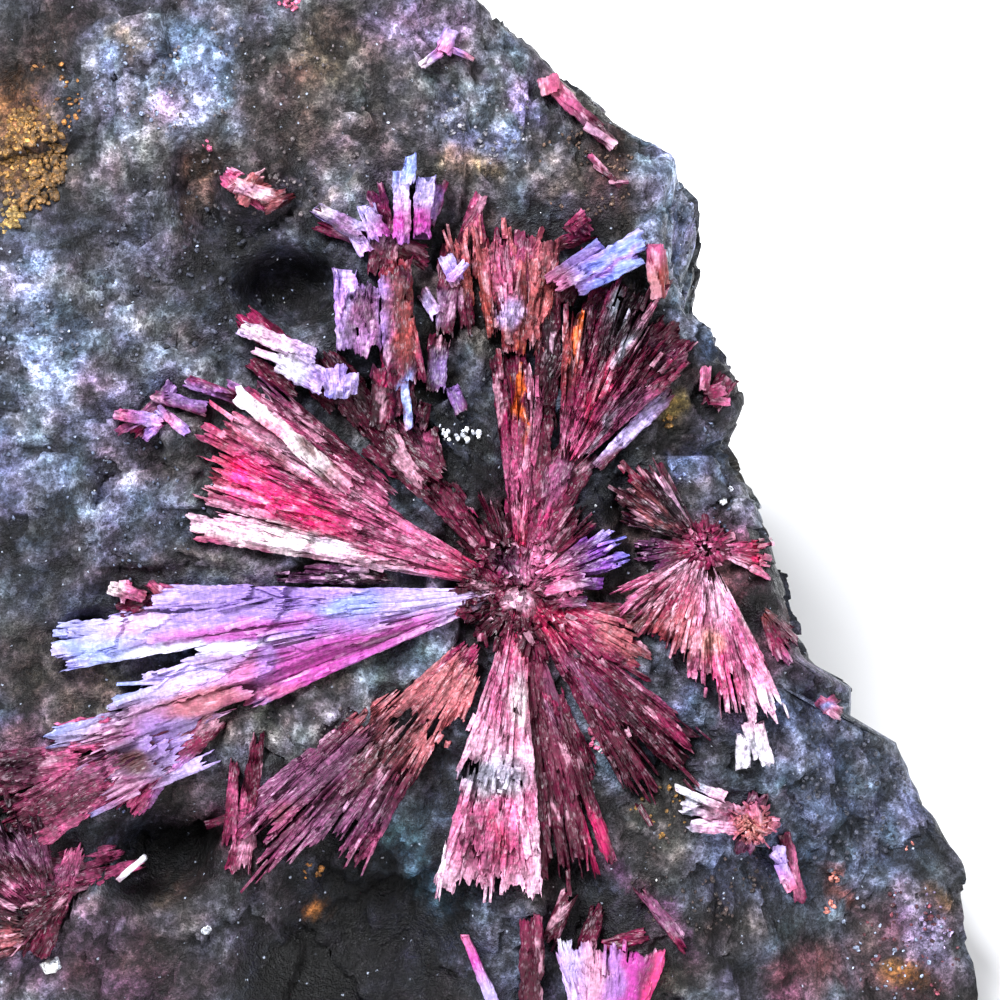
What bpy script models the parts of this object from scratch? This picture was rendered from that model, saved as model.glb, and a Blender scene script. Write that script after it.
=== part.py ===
"""Erythrite specimen: sprays of flat-lying crimson blades on a broken chunk of dark matrix rock.

The crystal face is described in its own frame, in millimetres: u to the right along the face,
v up the face, w out of the face. The face leans back and the chunk stands on a flat break.
Run with: blender --background --python part.py
"""
import math

import bmesh
import bpy
import numpy as np
from mathutils import Vector

MM = 0.001
COLLECTION = "erythrite_specimen"

# How the chunk stands: the crystal face leans back and looks up at FACE_TILT above level.
FACE_TILT = math.radians(40)
FACE_PLACE = (4.84, -5.93, 24.0)

# The chunk: outline of the crystal face, rim depth and thickness behind it.
MIDDLE = np.array([-4.0, -1.0])
OUTLINE = [
    (-0.1, 25.2), (3.1, 21.8), (5.9, 19.4), (8.5, 18.0), (10.9, 16.2), (11.1, 14.0), (10.5, 10.2),
    (12.1, 7.1), (12.6, 4.75), (11.7, 2.8), (13.2, 0.0), (14.3, -3.8), (15.2, -6.8), (15.9, -8.3),
    (18.3, -9.7), (18.8, -11.6), (21.4, -12.9), (22.8, -15.0), (24.6, -17.4), (25.9, -19.6),
    (26.1, -25.0), (25.4, -29.0), (22.5, -33.5), (10.0, -35.0), (-6.0, -34.5), (-20.0, -34.0),
    (-28.5, -31.0), (-32.6, -22.0), (-32.0, -12.0), (-33.8, -3.0), (-32.8, 7.0), (-34.6, 16.0),
    (-32.4, 26.0), (-24.5, 30.6), (-15.0, 31.0), (-9.0, 31.6), (-3.9, 28.9),
]
RIM_DEPTH = 13.0
THICKNESS = 42.0
SQUARENESS = 8.0
# The face's relief fades out down the rim; the bulges behind start below the rim and fade in.
RELIEF_REACH = 1.6
BEHIND_FROM = 1.5
BEHIND_FADE = 6.0
# Behind the face the chunk narrows, and its bulges stay inside the face's outline on the whole.
TAPER = 0.05
TAPER_FROM = 2.5
TAPER_FADE = 10.0
INWARD = 0.35
# The sphere's share (degrees from the front pole) that wraps the face, and where its two bends fall.
FRONT_SHARE = 92.0
FRONT_CORNER = 0.86
BACK_CORNER = 0.52

# Lumps (+) and pits (-) of the crystal face: u, v, half width, half height, turn, height, steepness.
RELIEF = [
    (-17.0, 21.0, 5.0, 3.8, 20, 1.5, 2),
    (-23.5, 8.5, 4.5, 5.0, 0, 1.6, 2),
    (-22.5, -1.5, 4.0, 3.6, 0, 1.2, 2),
    (-12.0, 15.6, 2.0, 1.5, 0, 1.1, 4),
    (-15.2, 15.8, 1.2, 2.4, 10, -1.6, 4),
    (-10.4, 10.6, 2.5, 1.7, 0, -3.0, 4),
    (-5.0, 19.0, 6.5, 3.0, -20, 1.0, 2),
    (-2.6, 2.2, 3.0, 3.0, -30, 1.7, 3),
    (4.6, 0.2, 1.6, 1.8, 20, 1.0, 3),
    (5.2, -3.7, 2.0, 0.8, 0, 0.6, 3),
    (-15.8, -3.2, 4.2, 1.5, 10, 0.8, 3),
    (-20.4, -6.4, 1.0, 0.8, 0, -1.5, 4),
    (-9.0, -11.0, 4.5, 1.6, 20, 0.7, 3),
    (13.4, -4.8, 1.4, 1.3, 0, 0.9, 4),
    (-7.5, -22.0, 6.5, 3.6, 10, -2.2, 4),
    (-17.0, -17.8, 2.8, 2.0, 20, -3.4, 4),
    (7.5, -15.0, 2.6, 2.2, 0, -0.7, 3),
    (11.0, 14.4, 2.5, 5.2, -8, -3.6, 8),
    (21.5, -13.0, 4.5, 14.0, -28, -3.2, 2),
    (8.0, -23.0, 7.0, 3.0, 0, 0.8, 2),
    (-24.0, -19.0, 4.0, 4.0, 0, 0.6, 2),
]
# Bulge and wander of the broken surface: size of the lumps and how far they stand out.
ROUGHNESS = [(11.0, 1.3), (5.0, 0.5)]
FACE_ROUGHNESS = [(7.0, 0.45), (3.2, 0.25)]
# Chips: flat facets where the rock broke. Size of a facet and how steeply it may lean.
CHIPS = [(9.5, 0.17)]
FACE_CHIPS = [(5.2, 0.14)]
# The breaks behind: which way each one looks, in the world, and how far it is from the middle.
BREAKS = [
    ((0.10, 1.0, 0.05), 20.0), ((-0.55, 0.75, 0.45), 23.0), ((0.70, 0.62, 0.30), 21.0),
    ((0.05, 0.60, 0.85), 26.5), ((-0.95, 0.10, -0.30), 26.5), ((0.85, 0.05, -0.55), 24.0),
]
BREAK_SOFTNESS = 14.0

# Gap between a crystal and what it grows on: how far out of the face the clearance stands, and how much
# larger it is than the rock all round. ROOTED is how deep a crystal's solid starts below the rock.
GAP = 0.30
CLEARANCE_GROWTH = 1.006
ROOTED = 1.1
# How far the blades of one fan run into each other, in all.
SIDE_LAP = 0.12
# Points closer than this (metres) are one; share of the rock's faces that stays.
MERGE = 2e-6
ROCK_DETAIL = 0.47

# Looks of the plain solids: base colours and roughness.
ROCK_COLOUR = (0.10, 0.10, 0.12)
ROCK_GLOSS = 0.8
HUB_COLOUR = (0.45, 0.08, 0.20)
CRYSTAL_GLOSS = 0.35

# Fans: each has the point that its blades leave from, and rows of
# from and to (degrees), from and to (mm from that point), blades, lift at root and tip, thickness.
MAIN = (1.0, -4.5)
RIGHT = (3.0, 1.0)
SIDE = (10.25, -2.35)
FANS = {
    "upper_left_fan": (MAIN, (0.62, 0.10, 0.12), [
        (149.5, 157.0, 2.9, 19.2, 3, 0.7, 1.6, 0.8), (157.0, 164.5, 2.9, 17.6, 3, 0.8, 1.5, 0.9),
        (164.5, 169.8, 2.9, 17.8, 2, 0.6, 1.0, 0.8), (140.0, 149.6, 4.5, 18.4, 3, 0.5, 2.0, 0.9),
        (147.2, 149.6, 9.4, 18.3, 1, 1.6, 2.5, 0.7)]),
    "dark_small_fan": (MAIN, (0.12, 0.04, 0.10), [(171.8, 178.2, 6.2, 12.6, 3, 0.3, 0.7, 0.4)]),
    "left_fan": (MAIN, (0.55, 0.22, 0.52), [
        (180.3, 185.0, 2.9, 18.4, 2, 0.7, 1.4, 0.8), (184.8, 189.4, 2.9, 24.2, 2, 0.8, 1.6, 0.9),
        (189.2, 193.2, 2.9, 17.6, 2, 0.8, 1.8, 0.9), (193.0, 197.8, 3.2, 22.4, 2, 0.7, 1.5, 0.9),
        (197.6, 203.6, 4.0, 15.4, 2, 0.4, 1.3, 0.8), (197.4, 203.0, 15.0, 26.0, 2, 1.1, 0.9, 0.9),
        (202.6, 209.0, 16.5, 24.4, 2, 1.0, 0.6, 0.9)]),
    "lower_left_fan": (MAIN, (0.48, 0.16, 0.20), [
        (217.0, 229.0, 7.4, 20.4, 3, 0.5, 1.5, 0.9), (222.0, 246.0, 4.2, 9.6, 3, 0.5, 1.0, 0.8),
        (230.0, 240.6, 8.8, 17.4, 2, 0.8, 1.5, 0.8)]),
    "bottom_fan": (MAIN, (0.75, 0.40, 0.50), [
        (250.0, 274.0, 2.9, 10.4, 4, 0.6, 1.2, 0.8), (254.5, 273.5, 9.9, 15.7, 3, 0.8, 1.9, 1.0)]),
    "dark_bottom_blades": (MAIN, (0.30, 0.05, 0.10), [(277.0, 289.5, 3.8, 15.2, 3, 0.4, 1.3, 0.9)]),
    "lower_right_fan": (MAIN, (0.36, 0.08, 0.12), [
        (300.0, 320.0, 2.9, 13.0, 3, 0.5, 1.0, 0.8), (320.0, 342.0, 2.9, 5.8, 3, 0.5, 0.9, 0.7)]),
    "right_spurs": (MAIN, (0.50, 0.20, 0.42), [(12.0, 38.0, 2.9, 5.9, 3, 0.8, 1.3, 0.6)]),
    "top_fan": (MAIN, (0.55, 0.14, 0.16), [
        (84.0, 98.0, 2.9, 12.2, 3, 0.6, 1.2, 0.8), (84.6, 92.0, 11.4, 18.2, 2, 0.8, 1.7, 0.8),
        (91.6, 97.0, 11.4, 19.6, 2, 0.8, 1.5, 0.7)]),
    "upper_right_fan": (RIGHT, (0.40, 0.12, 0.18), [
        (42.0, 60.0, 1.2, 9.8, 3, 0.6, 1.3, 0.8), (60.0, 78.0, 1.2, 11.9, 3, 0.8, 1.9, 0.9),
        (78.0, 89.0, 1.2, 9.6, 2, 0.6, 1.4, 0.7)]),
    "side_spray_upper": (SIDE, (0.28, 0.05, 0.08), [(120.0, 160.0, 0.9, 5.8, 5, 0.7, 1.3, 0.6)]),
    "side_spray_left": (SIDE, (0.28, 0.05, 0.08), [(176.0, 200.0, 1.0, 3.4, 2, 0.7, 0.8, 0.5)]),
    "side_spray_lower": (SIDE, (0.70, 0.35, 0.42), [
        (232.0, 262.0, 1.0, 6.0, 3, 0.7, 0.9, 0.6), (262.0, 280.0, 1.0, 7.6, 2, 0.9, 1.5, 0.7),
        (277.0, 297.0, 1.0, 11.4, 3, 0.9, 1.8, 0.8)]),
    "side_spray_right": (SIDE, (0.62, 0.18, 0.25), [(-24.0, 6.0, 0.8, 3.4, 3, 1.1, 1.0, 0.7)]),
    "edge_patch": ((12.9, -5.2), (0.50, 0.16, 0.20), [(-72.0, -38.0, 0.4, 3.3, 3, 0.6, 0.8, 0.6)]),
    "left_edge_cluster": ((-22.0, -21.5), (0.45, 0.10, 0.16), [
        (100.0, 150.0, 0.6, 8.4, 4, 0.5, 1.5, 1.0), (150.0, 205.0, 0.6, 6.6, 4, 0.6, 1.3, 0.9)]),
    "bottom_crystal": ((5.3, -30.6), (0.70, 0.25, 0.60), [(70.0, 108.0, 1.6, 9.0, 3, 1.2, 1.8, 1.2)]),
}

# The lilac tablet and the rusty cap that have grown over the upper right fan, in the rows of GROUPS.
FAN_TABLETS = {
    "upper_right_fan": [
        (3.2, 11.1, 7.3, 13.1, 1.4, 1.9, 2.5, 2.9, 0.7), (7.9, 10.2, 7.8, 12.8, 0.7, 0.9, 2.3, 2.8, 0.8)],
}

# Single crystals, grouped by node. Each row is root u, v and tip u, v (mm), width at root and tip,
# lift of the top above the rock at root and tip, thickness.
GROUPS = {
    "violet_tablets": ((0.48, 0.42, 0.75), [
        (-4.4, 12.6, -4.2, 17.1, 2.0, 2.3, 2.0, 2.6, 1.0),
        (-6.2, 13.0, -9.6, 14.6, 1.5, 1.1, 1.6, 1.6, 0.8),
        (-5.8, 12.7, -6.9, 15.0, 1.8, 1.1, 1.5, 1.9, 0.8)]),
    "lilac_column": ((0.60, 0.46, 0.75), [
        (-6.9, 7.3, -7.0, 11.7, 2.3, 2.5, 2.0, 2.6, 1.2), (-4.7, 5.6, -5.2, 12.0, 2.0, 1.4, 1.4, 2.0, 1.0),
        (-6.0, 3.4, -5.8, 7.0, 1.5, 1.7, 1.2, 1.9, 0.9), (-4.6, 3.4, -4.9, 6.2, 0.5, 0.5, 1.8, 2.2, 0.6)]),
    "pale_tablets": ((0.72, 0.60, 0.78), [
        (-9.0, 6.9, -13.3, 8.7, 1.6, 1.3, 1.8, 1.9, 0.8), (-8.6, 5.7, -11.2, 7.2, 1.5, 1.5, 1.7, 2.1, 0.8),
        (-8.2, 6.7, -8.1, 5.0, 1.6, 1.2, 1.6, 1.8, 0.8)]),
    "rock_lilac_crystal": ((0.55, 0.42, 0.55), [(-2.0, 10.6, -3.0, 12.5, 1.1, 1.0, 1.2, 1.4, 0.6)]),
    "red_knot": ((0.50, 0.12, 0.22), [(3.5, 13.5, 4.3, 14.3, 1.0, 1.2, 1.2, 1.5, 0.7)]),
    "red_brown_lump": ((0.36, 0.14, 0.13), [
        (-13.6, 15.0, -11.4, 16.2, 1.6, 1.5, 0.9, 1.1, 0.7),
        (-12.0, 14.6, -10.2, 15.3, 1.2, 1.0, 0.8, 0.9, 0.6)]),
    "top_small_crystal": ((0.55, 0.40, 0.60), [
        (-2.9, 22.3, -2.4, 23.6, 1.0, 0.9, 0.9, 1.3, 0.6), (-2.8, 22.5, -4.2, 21.4, 0.7, 0.5, 0.9, 0.8, 0.5)]),
    "rim_needles": ((0.42, 0.12, 0.14), [
        (5.8, 17.6, 2.2, 21.2, 0.8, 1.1, 0.8, 1.5, 0.8), (2.6, 20.4, 2.4, 21.3, 1.2, 1.3, 1.4, 1.7, 0.8)]),
    "rim_thin_needle": ((0.42, 0.12, 0.14), [(4.4, 17.6, 6.2, 15.6, 0.5, 0.4, 0.6, 0.6, 0.5)]),
    "rim_tuft": ((0.45, 0.10, 0.18), [
        (10.2, 5.2, 11.4, 5.6, 0.9, 1.0, 0.9, 1.1, 0.6), (10.2, 5.3, 10.3, 6.9, 0.7, 0.7, 1.0, 1.1, 0.6)]),
    "rim_specimen": ((0.42, 0.08, 0.16), [(15.8, -9.9, 17.3, -10.8, 0.8, 1.2, 1.3, 1.5, 1.0)]),
    "left_tip_cluster": ((0.60, 0.35, 0.55), [
        (-16.6, 3.9, -19.6, 4.3, 1.1, 1.0, 0.9, 1.2, 0.7),
        (-16.9, 4.0, -18.0, 2.9, 0.9, 0.8, 1.0, 1.0, 0.6)]),
    "left_tip_crystals": ((0.66, 0.40, 0.48), [
        (-17.6, -4.9, -19.7, -4.3, 1.1, 1.0, 1.3, 1.5, 0.8),
        (-18.6, -5.2, -18.5, -3.9, 1.0, 0.8, 1.3, 1.4, 0.6)]),
    "lower_right_tuft": ((0.72, 0.55, 0.60), [
        (12.4, -15.9, 8.8, -15.2, 1.3, 1.2, 1.0, 1.2, 0.7),
        (12.8, -16.8, 12.2, -15.0, 1.5, 1.6, 1.0, 1.5, 0.9)]),
    "lilac_beads": ((0.62, 0.48, 0.66), [
        (13.9, -17.2, 14.1, -18.5, 0.8, 0.8, 0.8, 0.9, 0.5),
        (14.0, -18.1, 14.7, -19.7, 0.8, 0.8, 0.9, 1.0, 0.5)]),
    "cavity_needle": ((0.86, 0.80, 0.84), [(-19.2, -19.1, -17.8, -17.8, 0.4, 0.4, 2.6, 3.6, 0.4)]),
    "bottom_dark_blade": ((0.36, 0.08, 0.16), [(1.7, -26.5, 1.5, -20.4, 1.6, 1.2, 1.3, 1.5, 0.9)]),
    "bottom_small_blade": ((0.66, 0.25, 0.62), [(0.0, -25.8, -2.0, -21.6, 0.8, 0.5, 1.3, 2.0, 0.6)]),
}
HUB_NEEDLES = 7
HUB_REACH = 2.35


def to_world(points):
    """Face-frame millimetres to world metres."""
    u, v, w = np.moveaxis(np.asarray(points, float), -1, 0)
    sine, cosine = math.sin(FACE_TILT), math.cos(FACE_TILT)
    x = u + FACE_PLACE[0]
    y = v * sine - w * cosine + FACE_PLACE[1]
    z = v * cosine + w * sine + FACE_PLACE[2]
    return np.stack([x, y, z], axis=-1) * MM


def lattice_noise(points, size, seed):
    """Smooth noise from -1 to 1: a random slope at each lattice point, blended between them."""
    grid = np.asarray(points, float) / size + seed * 17.31
    cell = np.floor(grid).astype(np.int64)
    part = grid - cell
    blend = part ** 3 * (part * (part * 6 - 15) + 10)
    total = np.zeros(len(grid))
    for corner in np.ndindex(2, 2, 2):
        at = (cell + corner).astype(np.uint32)
        key = at[:, 0] * np.uint32(374761393) + at[:, 1] * np.uint32(668265263)
        key = key + at[:, 2] * np.uint32(2246822519) + np.uint32(seed * 977 + 13)
        key = (key ^ (key >> np.uint32(13))) * np.uint32(1274126177)
        key = key ^ (key >> np.uint32(16))
        slopes = np.stack([(key >> np.uint32(shift)) & np.uint32(1023) for shift in (0, 10, 20)], axis=1)
        away = part - corner
        weight = np.prod(np.where(np.array(corner) == 1, blend, 1 - blend), axis=1)
        total += weight * ((slopes / 511.5 - 1) * away).sum(axis=1)
    return total * 1.6


def chipped(points, size, lean, seed):
    """Flat facets: each point takes the height of a leaning plane that belongs to its nearest chip."""
    grid = np.asarray(points, float) / size + seed * 9.73
    cell = np.floor(grid).astype(np.int64)
    nearest = np.full(len(grid), np.inf)
    height = np.zeros(len(grid))
    for corner in np.ndindex(3, 3, 3):
        at = cell + np.array(corner) - 1
        x, y, z = at.astype(np.uint32).T
        key = x * np.uint32(73856093) ^ y * np.uint32(19349663) ^ z * np.uint32(83492791)
        key = (key + np.uint32(seed * 131)) * np.uint32(2654435761)
        key = (key ^ (key >> np.uint32(15))) * np.uint32(2246822519)
        key = key ^ (key >> np.uint32(13))
        shares = [((key >> np.uint32(shift)) & np.uint32(31)) / 31.0 for shift in (0, 5, 10, 15, 20, 25)]
        away = grid - (at + np.stack(shares[:3], axis=1))
        distance = (away ** 2).sum(axis=1)
        plane = (away * (np.stack(shares[3:], axis=1) * 2 - 1)).sum(axis=1)
        height = np.where(distance < nearest, plane, height)
        nearest = np.minimum(nearest, distance)
    return height * size * lean


def outline_radius(angle):
    """Distance from the middle of the face to its outline, along an angle."""
    corners = np.array(OUTLINE) - MIDDLE
    angles = np.arctan2(corners[:, 1], corners[:, 0])
    order = np.argsort(angles)
    return np.interp(angle, angles[order], np.hypot(*corners[order].T), period=2 * math.pi)


def face_relief(u, v):
    """Lumps and pits of the face at u, v: each one a raised or sunk spot with a soft or steep edge."""
    height = np.zeros_like(u)
    for at_u, at_v, half_u, half_v, turn, rise, steepness in RELIEF:
        c, s = math.cos(math.radians(turn)), math.sin(math.radians(turn))
        along = ((u - at_u) * c + (v - at_v) * s) / half_u
        across = ((v - at_v) * c - (u - at_u) * s) / half_v
        height += rise * np.exp(-np.hypot(along, across) ** steepness)
    place = np.stack([u, v, np.zeros_like(u)], axis=-1)
    for seed, (size, rise) in enumerate(FACE_ROUGHNESS, start=31):
        height += rise * lattice_noise(place, size, seed)
    for seed, (size, lean) in enumerate(FACE_CHIPS, start=41):
        height += chipped(place, size, lean, seed)
    return height


def rim_height(share):
    """How much of the rim depth is left at a share of the way from the middle to the outline."""
    return (1 - np.clip(share, 0, 1) ** SQUARENESS) ** (1 / SQUARENESS)


def face_height(u, v):
    """Height w of the rock's crystal face at u, v."""
    away_u, away_v = u - MIDDLE[0], v - MIDDLE[1]
    share = np.hypot(away_u, away_v) / outline_radius(np.arctan2(away_v, away_u))
    left = rim_height(share)
    return face_relief(u, v) * np.clip(left * RELIEF_REACH, 0, 1) - RIM_DEPTH * (1 - left)


def rock_surface(directions):
    """Point of the rock for each unit direction of a sphere that is wrapped over it."""
    du, dv, dw = directions.T
    turn = np.arctan2(dv, du)
    polar = np.degrees(np.arccos(np.clip(dw, -1, 1)))
    front = polar <= FRONT_SHARE
    spread = np.where(front, polar / FRONT_SHARE, (180 - polar) / (180 - FRONT_SHARE))
    spread = np.sqrt(1 - np.cos(np.radians(spread * 90)))
    corner = np.where(front, FRONT_CORNER, BACK_CORNER)
    lean = np.where(spread < corner, spread / corner, 1 + (spread - corner) / (1 - corner)) * 45
    s, c = np.sin(np.radians(lean)), np.cos(np.radians(lean))
    size = (s ** SQUARENESS + c ** SQUARENESS) ** (1 / SQUARENESS)
    share, left = s / size, c / size
    reach = outline_radius(turn) * share
    u, v = MIDDLE[0] + reach * np.cos(turn), MIDDLE[1] + reach * np.sin(turn)
    w_front = face_relief(u, v) * np.clip(left * RELIEF_REACH, 0, 1) - RIM_DEPTH * (1 - left)
    w = np.where(front, w_front, -RIM_DEPTH - (THICKNESS - RIM_DEPTH) * left)
    narrow = 1 - TAPER * np.clip((-w - TAPER_FROM) / TAPER_FADE, 0, 1)
    points = np.stack([MIDDLE[0] + (u - MIDDLE[0]) * narrow, MIDDLE[1] + (v - MIDDLE[1]) * narrow, w], axis=1)

    middle = np.array([MIDDLE[0], MIDDLE[1], -RIM_DEPTH])
    behind = np.clip((-w - BEHIND_FROM) / BEHIND_FADE, 0, 1)
    for seed, (size, rise) in enumerate(ROUGHNESS, start=3):
        bulge = (lattice_noise(points, size, seed) - INWARD) * rise * behind
        ray = points - middle
        points = points + ray / np.linalg.norm(ray, axis=1)[:, None] * bulge[:, None]

    world = to_world(points) / MM
    centre = to_world(middle) / MM
    ray = world - centre
    crowd = np.ones(len(ray))
    for normal, distance in BREAKS:
        looks = np.array(normal) / np.linalg.norm(normal)
        crowd += np.clip(ray @ looks / distance, 0, None) ** BREAK_SOFTNESS * behind
    ray = ray / crowd[:, None] ** (1 / BREAK_SOFTNESS)
    chip = sum(chipped(centre + ray, size, lean, seed) for seed, (size, lean) in enumerate(CHIPS, start=51))
    ray = ray * (1 + chip * behind / np.linalg.norm(ray, axis=1))[:, None]
    below = centre[2] + ray[:, 2] < 0
    ray[below] *= (-centre[2] / ray[below, 2])[:, None]
    world = centre + ray
    world[below, 2] = 0.0
    return world * MM


def stone_material(name, colour, roughness):
    """Plain stone-like finish in one colour."""
    material = bpy.data.materials.new(name)
    material.use_nodes = True
    shader = material.node_tree.nodes["Principled BSDF"]
    shader.inputs["Base Color"].default_value = (*colour, 1.0)
    shader.inputs["Roughness"].default_value = roughness
    shader.inputs["Metallic"].default_value = 0.0
    return material


def add_object(name, mesh, collection, material=None):
    piece = bpy.data.objects.new(name, mesh)
    collection.objects.link(piece)
    if material:
        mesh.materials.append(material)
    return piece


def hide_helper(piece):
    piece.hide_render = True
    piece.display_type = "WIRE"


def rock_mesh(name):
    """The chunk: an icosphere whose points are moved onto the rock's surface."""
    shell = bmesh.new()
    bmesh.ops.create_icosphere(shell, subdivisions=5, radius=1.0)
    directions = np.array([vertex.co.normalized() for vertex in shell.verts])
    for vertex, point in zip(shell.verts, rock_surface(directions)):
        vertex.co = Vector(point)
    mesh = bpy.data.meshes.new(name)
    shell.to_mesh(mesh)
    shell.free()
    return mesh


def crystal_mesh(name, root, tip, widths, lifts, thickness, shape):
    """A flat tapering blade with a low ridge and a slanted end, laid over the face from root to tip.

    It is a box cut once along and once across: x runs from root to tip, y across, z out of the face.
    """
    ridge, slant, roll = shape
    box = bmesh.new()
    bmesh.ops.create_cube(box, size=1.0)
    long_edges = [e for e in box.edges if abs(e.verts[0].co.z - e.verts[1].co.z) < 0.5]
    bmesh.ops.subdivide_edges(box, edges=long_edges, cuts=1, use_grid_fill=True)
    local = np.array([vertex.co for vertex in box.verts])
    along, across, top = local[:, 0] + 0.5, local[:, 1] * 2, local[:, 2] > 0
    root, tip = np.array(root), np.array(tip)
    run = tip - root
    length = np.hypot(*run)
    side = np.array([-run[1], run[0]]) / length
    along = along + slant * across * along
    width = widths[0] + (widths[1] - widths[0]) * along
    place = root + along[:, None] * run + (across * width / 2)[:, None] * side
    ends_u, ends_v = np.array([root, tip]).T
    ends = face_height(ends_u, ends_v) + np.array(lifts)
    crest = ends[0] + (ends[1] - ends[0]) * along
    crest = crest + ridge * (1 - np.abs(across)) * thickness + roll * across * width / 2
    w = np.where(top, crest, crest - thickness - ROOTED)
    for vertex, point in zip(box.verts, to_world(np.column_stack([place, w]))):
        vertex.co = Vector(point)
    mesh = bpy.data.meshes.new(name)
    box.to_mesh(mesh)
    box.free()
    return mesh


def fan_blades(name, hub, rows):
    """Blades of one fan, each a wedge between two angles; the outer sides keep off the next fan."""
    rng = np.random.default_rng(sum(name.encode()))
    meshes = []
    for start, end, near, far, count, lift_root, lift_tip, thickness in rows:
        edges = np.radians(np.linspace(start, end, count + 1))
        jitter = rng.uniform(-1, 1, (count, 5))
        for index in range(count):
            swing = (edges[index] + edges[index + 1]) / 2
            half = (edges[index + 1] - edges[index]) / 2
            length_far = far * (1 - 0.06 * abs(jitter[index, 0]))
            ray = np.array([math.cos(swing), math.sin(swing)])
            widths = [2 * reach * math.tan(half) + SIDE_LAP for reach in (near, length_far)]
            lifts = (lift_root + 0.10 * jitter[index, 1], lift_tip + 0.30 * jitter[index, 2])
            shape = (0.25 + 0.15 * jitter[index, 3], 0.03 * jitter[index, 4], 0.22 * jitter[index, 1])
            label = f"{name}_blade_{len(meshes)}"
            root, tip = np.array(hub) + ray * near, np.array(hub) + ray * length_far
            meshes.append(crystal_mesh(label, root, tip, widths, lifts, thickness, shape))
    return meshes


def group_blades(name, rows):
    """Blades of a group of single crystals, each from its root to its tip."""
    rng = np.random.default_rng(sum(name.encode()))
    meshes = []
    for row in rows:
        jitter = rng.uniform(-1, 1, 3)
        shape = (0.22 + 0.12 * jitter[0], 0.05 * jitter[1], 0.18 * jitter[2])
        label = f"{name}_blade_{len(meshes)}"
        meshes.append(crystal_mesh(label, row[0:2], row[2:4], row[4:6], row[6:8], row[8], shape))
    return meshes


def hub_needles(name):
    """Short needles that cross in the middle of the main spray, reaching out all round."""
    meshes = []
    for index in range(HUB_NEEDLES):
        swing = 2 * math.pi * index / HUB_NEEDLES + 0.3
        ray = np.array([math.cos(swing), math.sin(swing)])
        reach = HUB_REACH * (1 - 0.12 * (index % 3))
        root, tip = np.array(MAIN) - ray * 0.5, np.array(MAIN) + ray * reach
        lifts = (1.3 + 0.15 * (index % 2), 0.7 + 0.2 * (index % 3))
        meshes.append(crystal_mesh(f"{name}_{index}", root, tip, (0.9, 0.5), lifts, 0.8, (0.4, 0.0, 0.1)))
    return meshes


def keep_largest_body(mesh):
    """Drops the crumbs that the rock cuts loose from a crystal group."""
    work = bmesh.new()
    work.from_mesh(mesh)
    bmesh.ops.remove_doubles(work, verts=work.verts, dist=MERGE)
    bmesh.ops.dissolve_degenerate(work, edges=work.edges, dist=MERGE)
    bodies, seen = [], set()
    for first in work.faces:
        if first in seen:
            continue
        body, queue = [], [first]
        seen.add(first)
        while queue:
            face = queue.pop()
            body.append(face)
            for edge in face.edges:
                for other in edge.link_faces:
                    if other not in seen:
                        seen.add(other)
                        queue.append(other)
        bodies.append(body)
    bodies.sort(key=len, reverse=True)
    for body in bodies[1:]:
        bmesh.ops.delete(work, geom=body, context="FACES")
    work.to_mesh(mesh)
    work.free()


def fuse_crystals(name, meshes, rock_cutter, parts, helpers, material):
    """Joins the blades of one group into one solid and cuts away what lies in the rock.

    Many blades cross at once, where the exact solver loses whole fans, so these use the manifold one.
    """
    others = bpy.data.collections.new(f"{name}_blades")
    helpers.children.link(others)
    fused = add_object(f"{name}_fused", meshes[0], helpers)
    for mesh in meshes[1:]:
        blade = add_object(mesh.name, mesh, others)
        hide_helper(blade)
        join = fused.modifiers.new(f"join {mesh.name}", "BOOLEAN")
        join.operation = "UNION"
        join.solver = "MANIFOLD"
        join.object = blade
    cut = fused.modifiers.new("cut by rock", "BOOLEAN")
    cut.operation = "DIFFERENCE"
    cut.solver = "MANIFOLD"
    cut.object = rock_cutter
    bpy.context.view_layer.update()
    graph = bpy.context.evaluated_depsgraph_get()
    mesh = bpy.data.meshes.new_from_object(fused.evaluated_get(graph))
    mesh.name = name
    keep_largest_body(mesh)
    hide_helper(fused)
    fused.modifiers.clear()
    return add_object(name, mesh, parts, material)


def build():
    for piece in list(bpy.data.objects):
        bpy.data.objects.remove(piece)
    parts = bpy.data.collections.new(COLLECTION)
    helpers = bpy.data.collections.new(f"{COLLECTION}_cutters")
    for collection in (parts, helpers):
        bpy.context.scene.collection.children.link(collection)
    helpers.hide_render = True

    rock_colour = stone_material("matrix", ROCK_COLOUR, ROCK_GLOSS)
    rock = add_object("matrix_rock", rock_mesh("matrix_rock"), parts, rock_colour)
    cutter = add_object("rock_clearance", rock_mesh("rock_clearance"), helpers)
    for stone in (rock, cutter):
        thin_out = stone.modifiers.new("fewer faces", "DECIMATE")
        thin_out.ratio = ROCK_DETAIL
    still = to_world((*MIDDLE, -RIM_DEPTH))
    cutter.scale = (CLEARANCE_GROWTH, CLEARANCE_GROWTH, CLEARANCE_GROWTH)
    cutter.location = Vector(to_world((*MIDDLE, GAP - RIM_DEPTH)) - still * CLEARANCE_GROWTH)
    hide_helper(cutter)

    hub_colour = stone_material("spray_hub", HUB_COLOUR, CRYSTAL_GLOSS)
    fuse_crystals("spray_hub", hub_needles("spray_hub"), cutter, parts, helpers, hub_colour)
    for name, (hub, colour, rows) in FANS.items():
        blades = fan_blades(name, hub, rows) + group_blades(f"{name}_tablet", FAN_TABLETS.get(name, []))
        fuse_crystals(name, blades, cutter, parts, helpers, stone_material(name, colour, CRYSTAL_GLOSS))
    for name, (colour, rows) in GROUPS.items():
        colour = stone_material(name, colour, CRYSTAL_GLOSS)
        fuse_crystals(name, group_blades(name, rows), cutter, parts, helpers, colour)


build()
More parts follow.
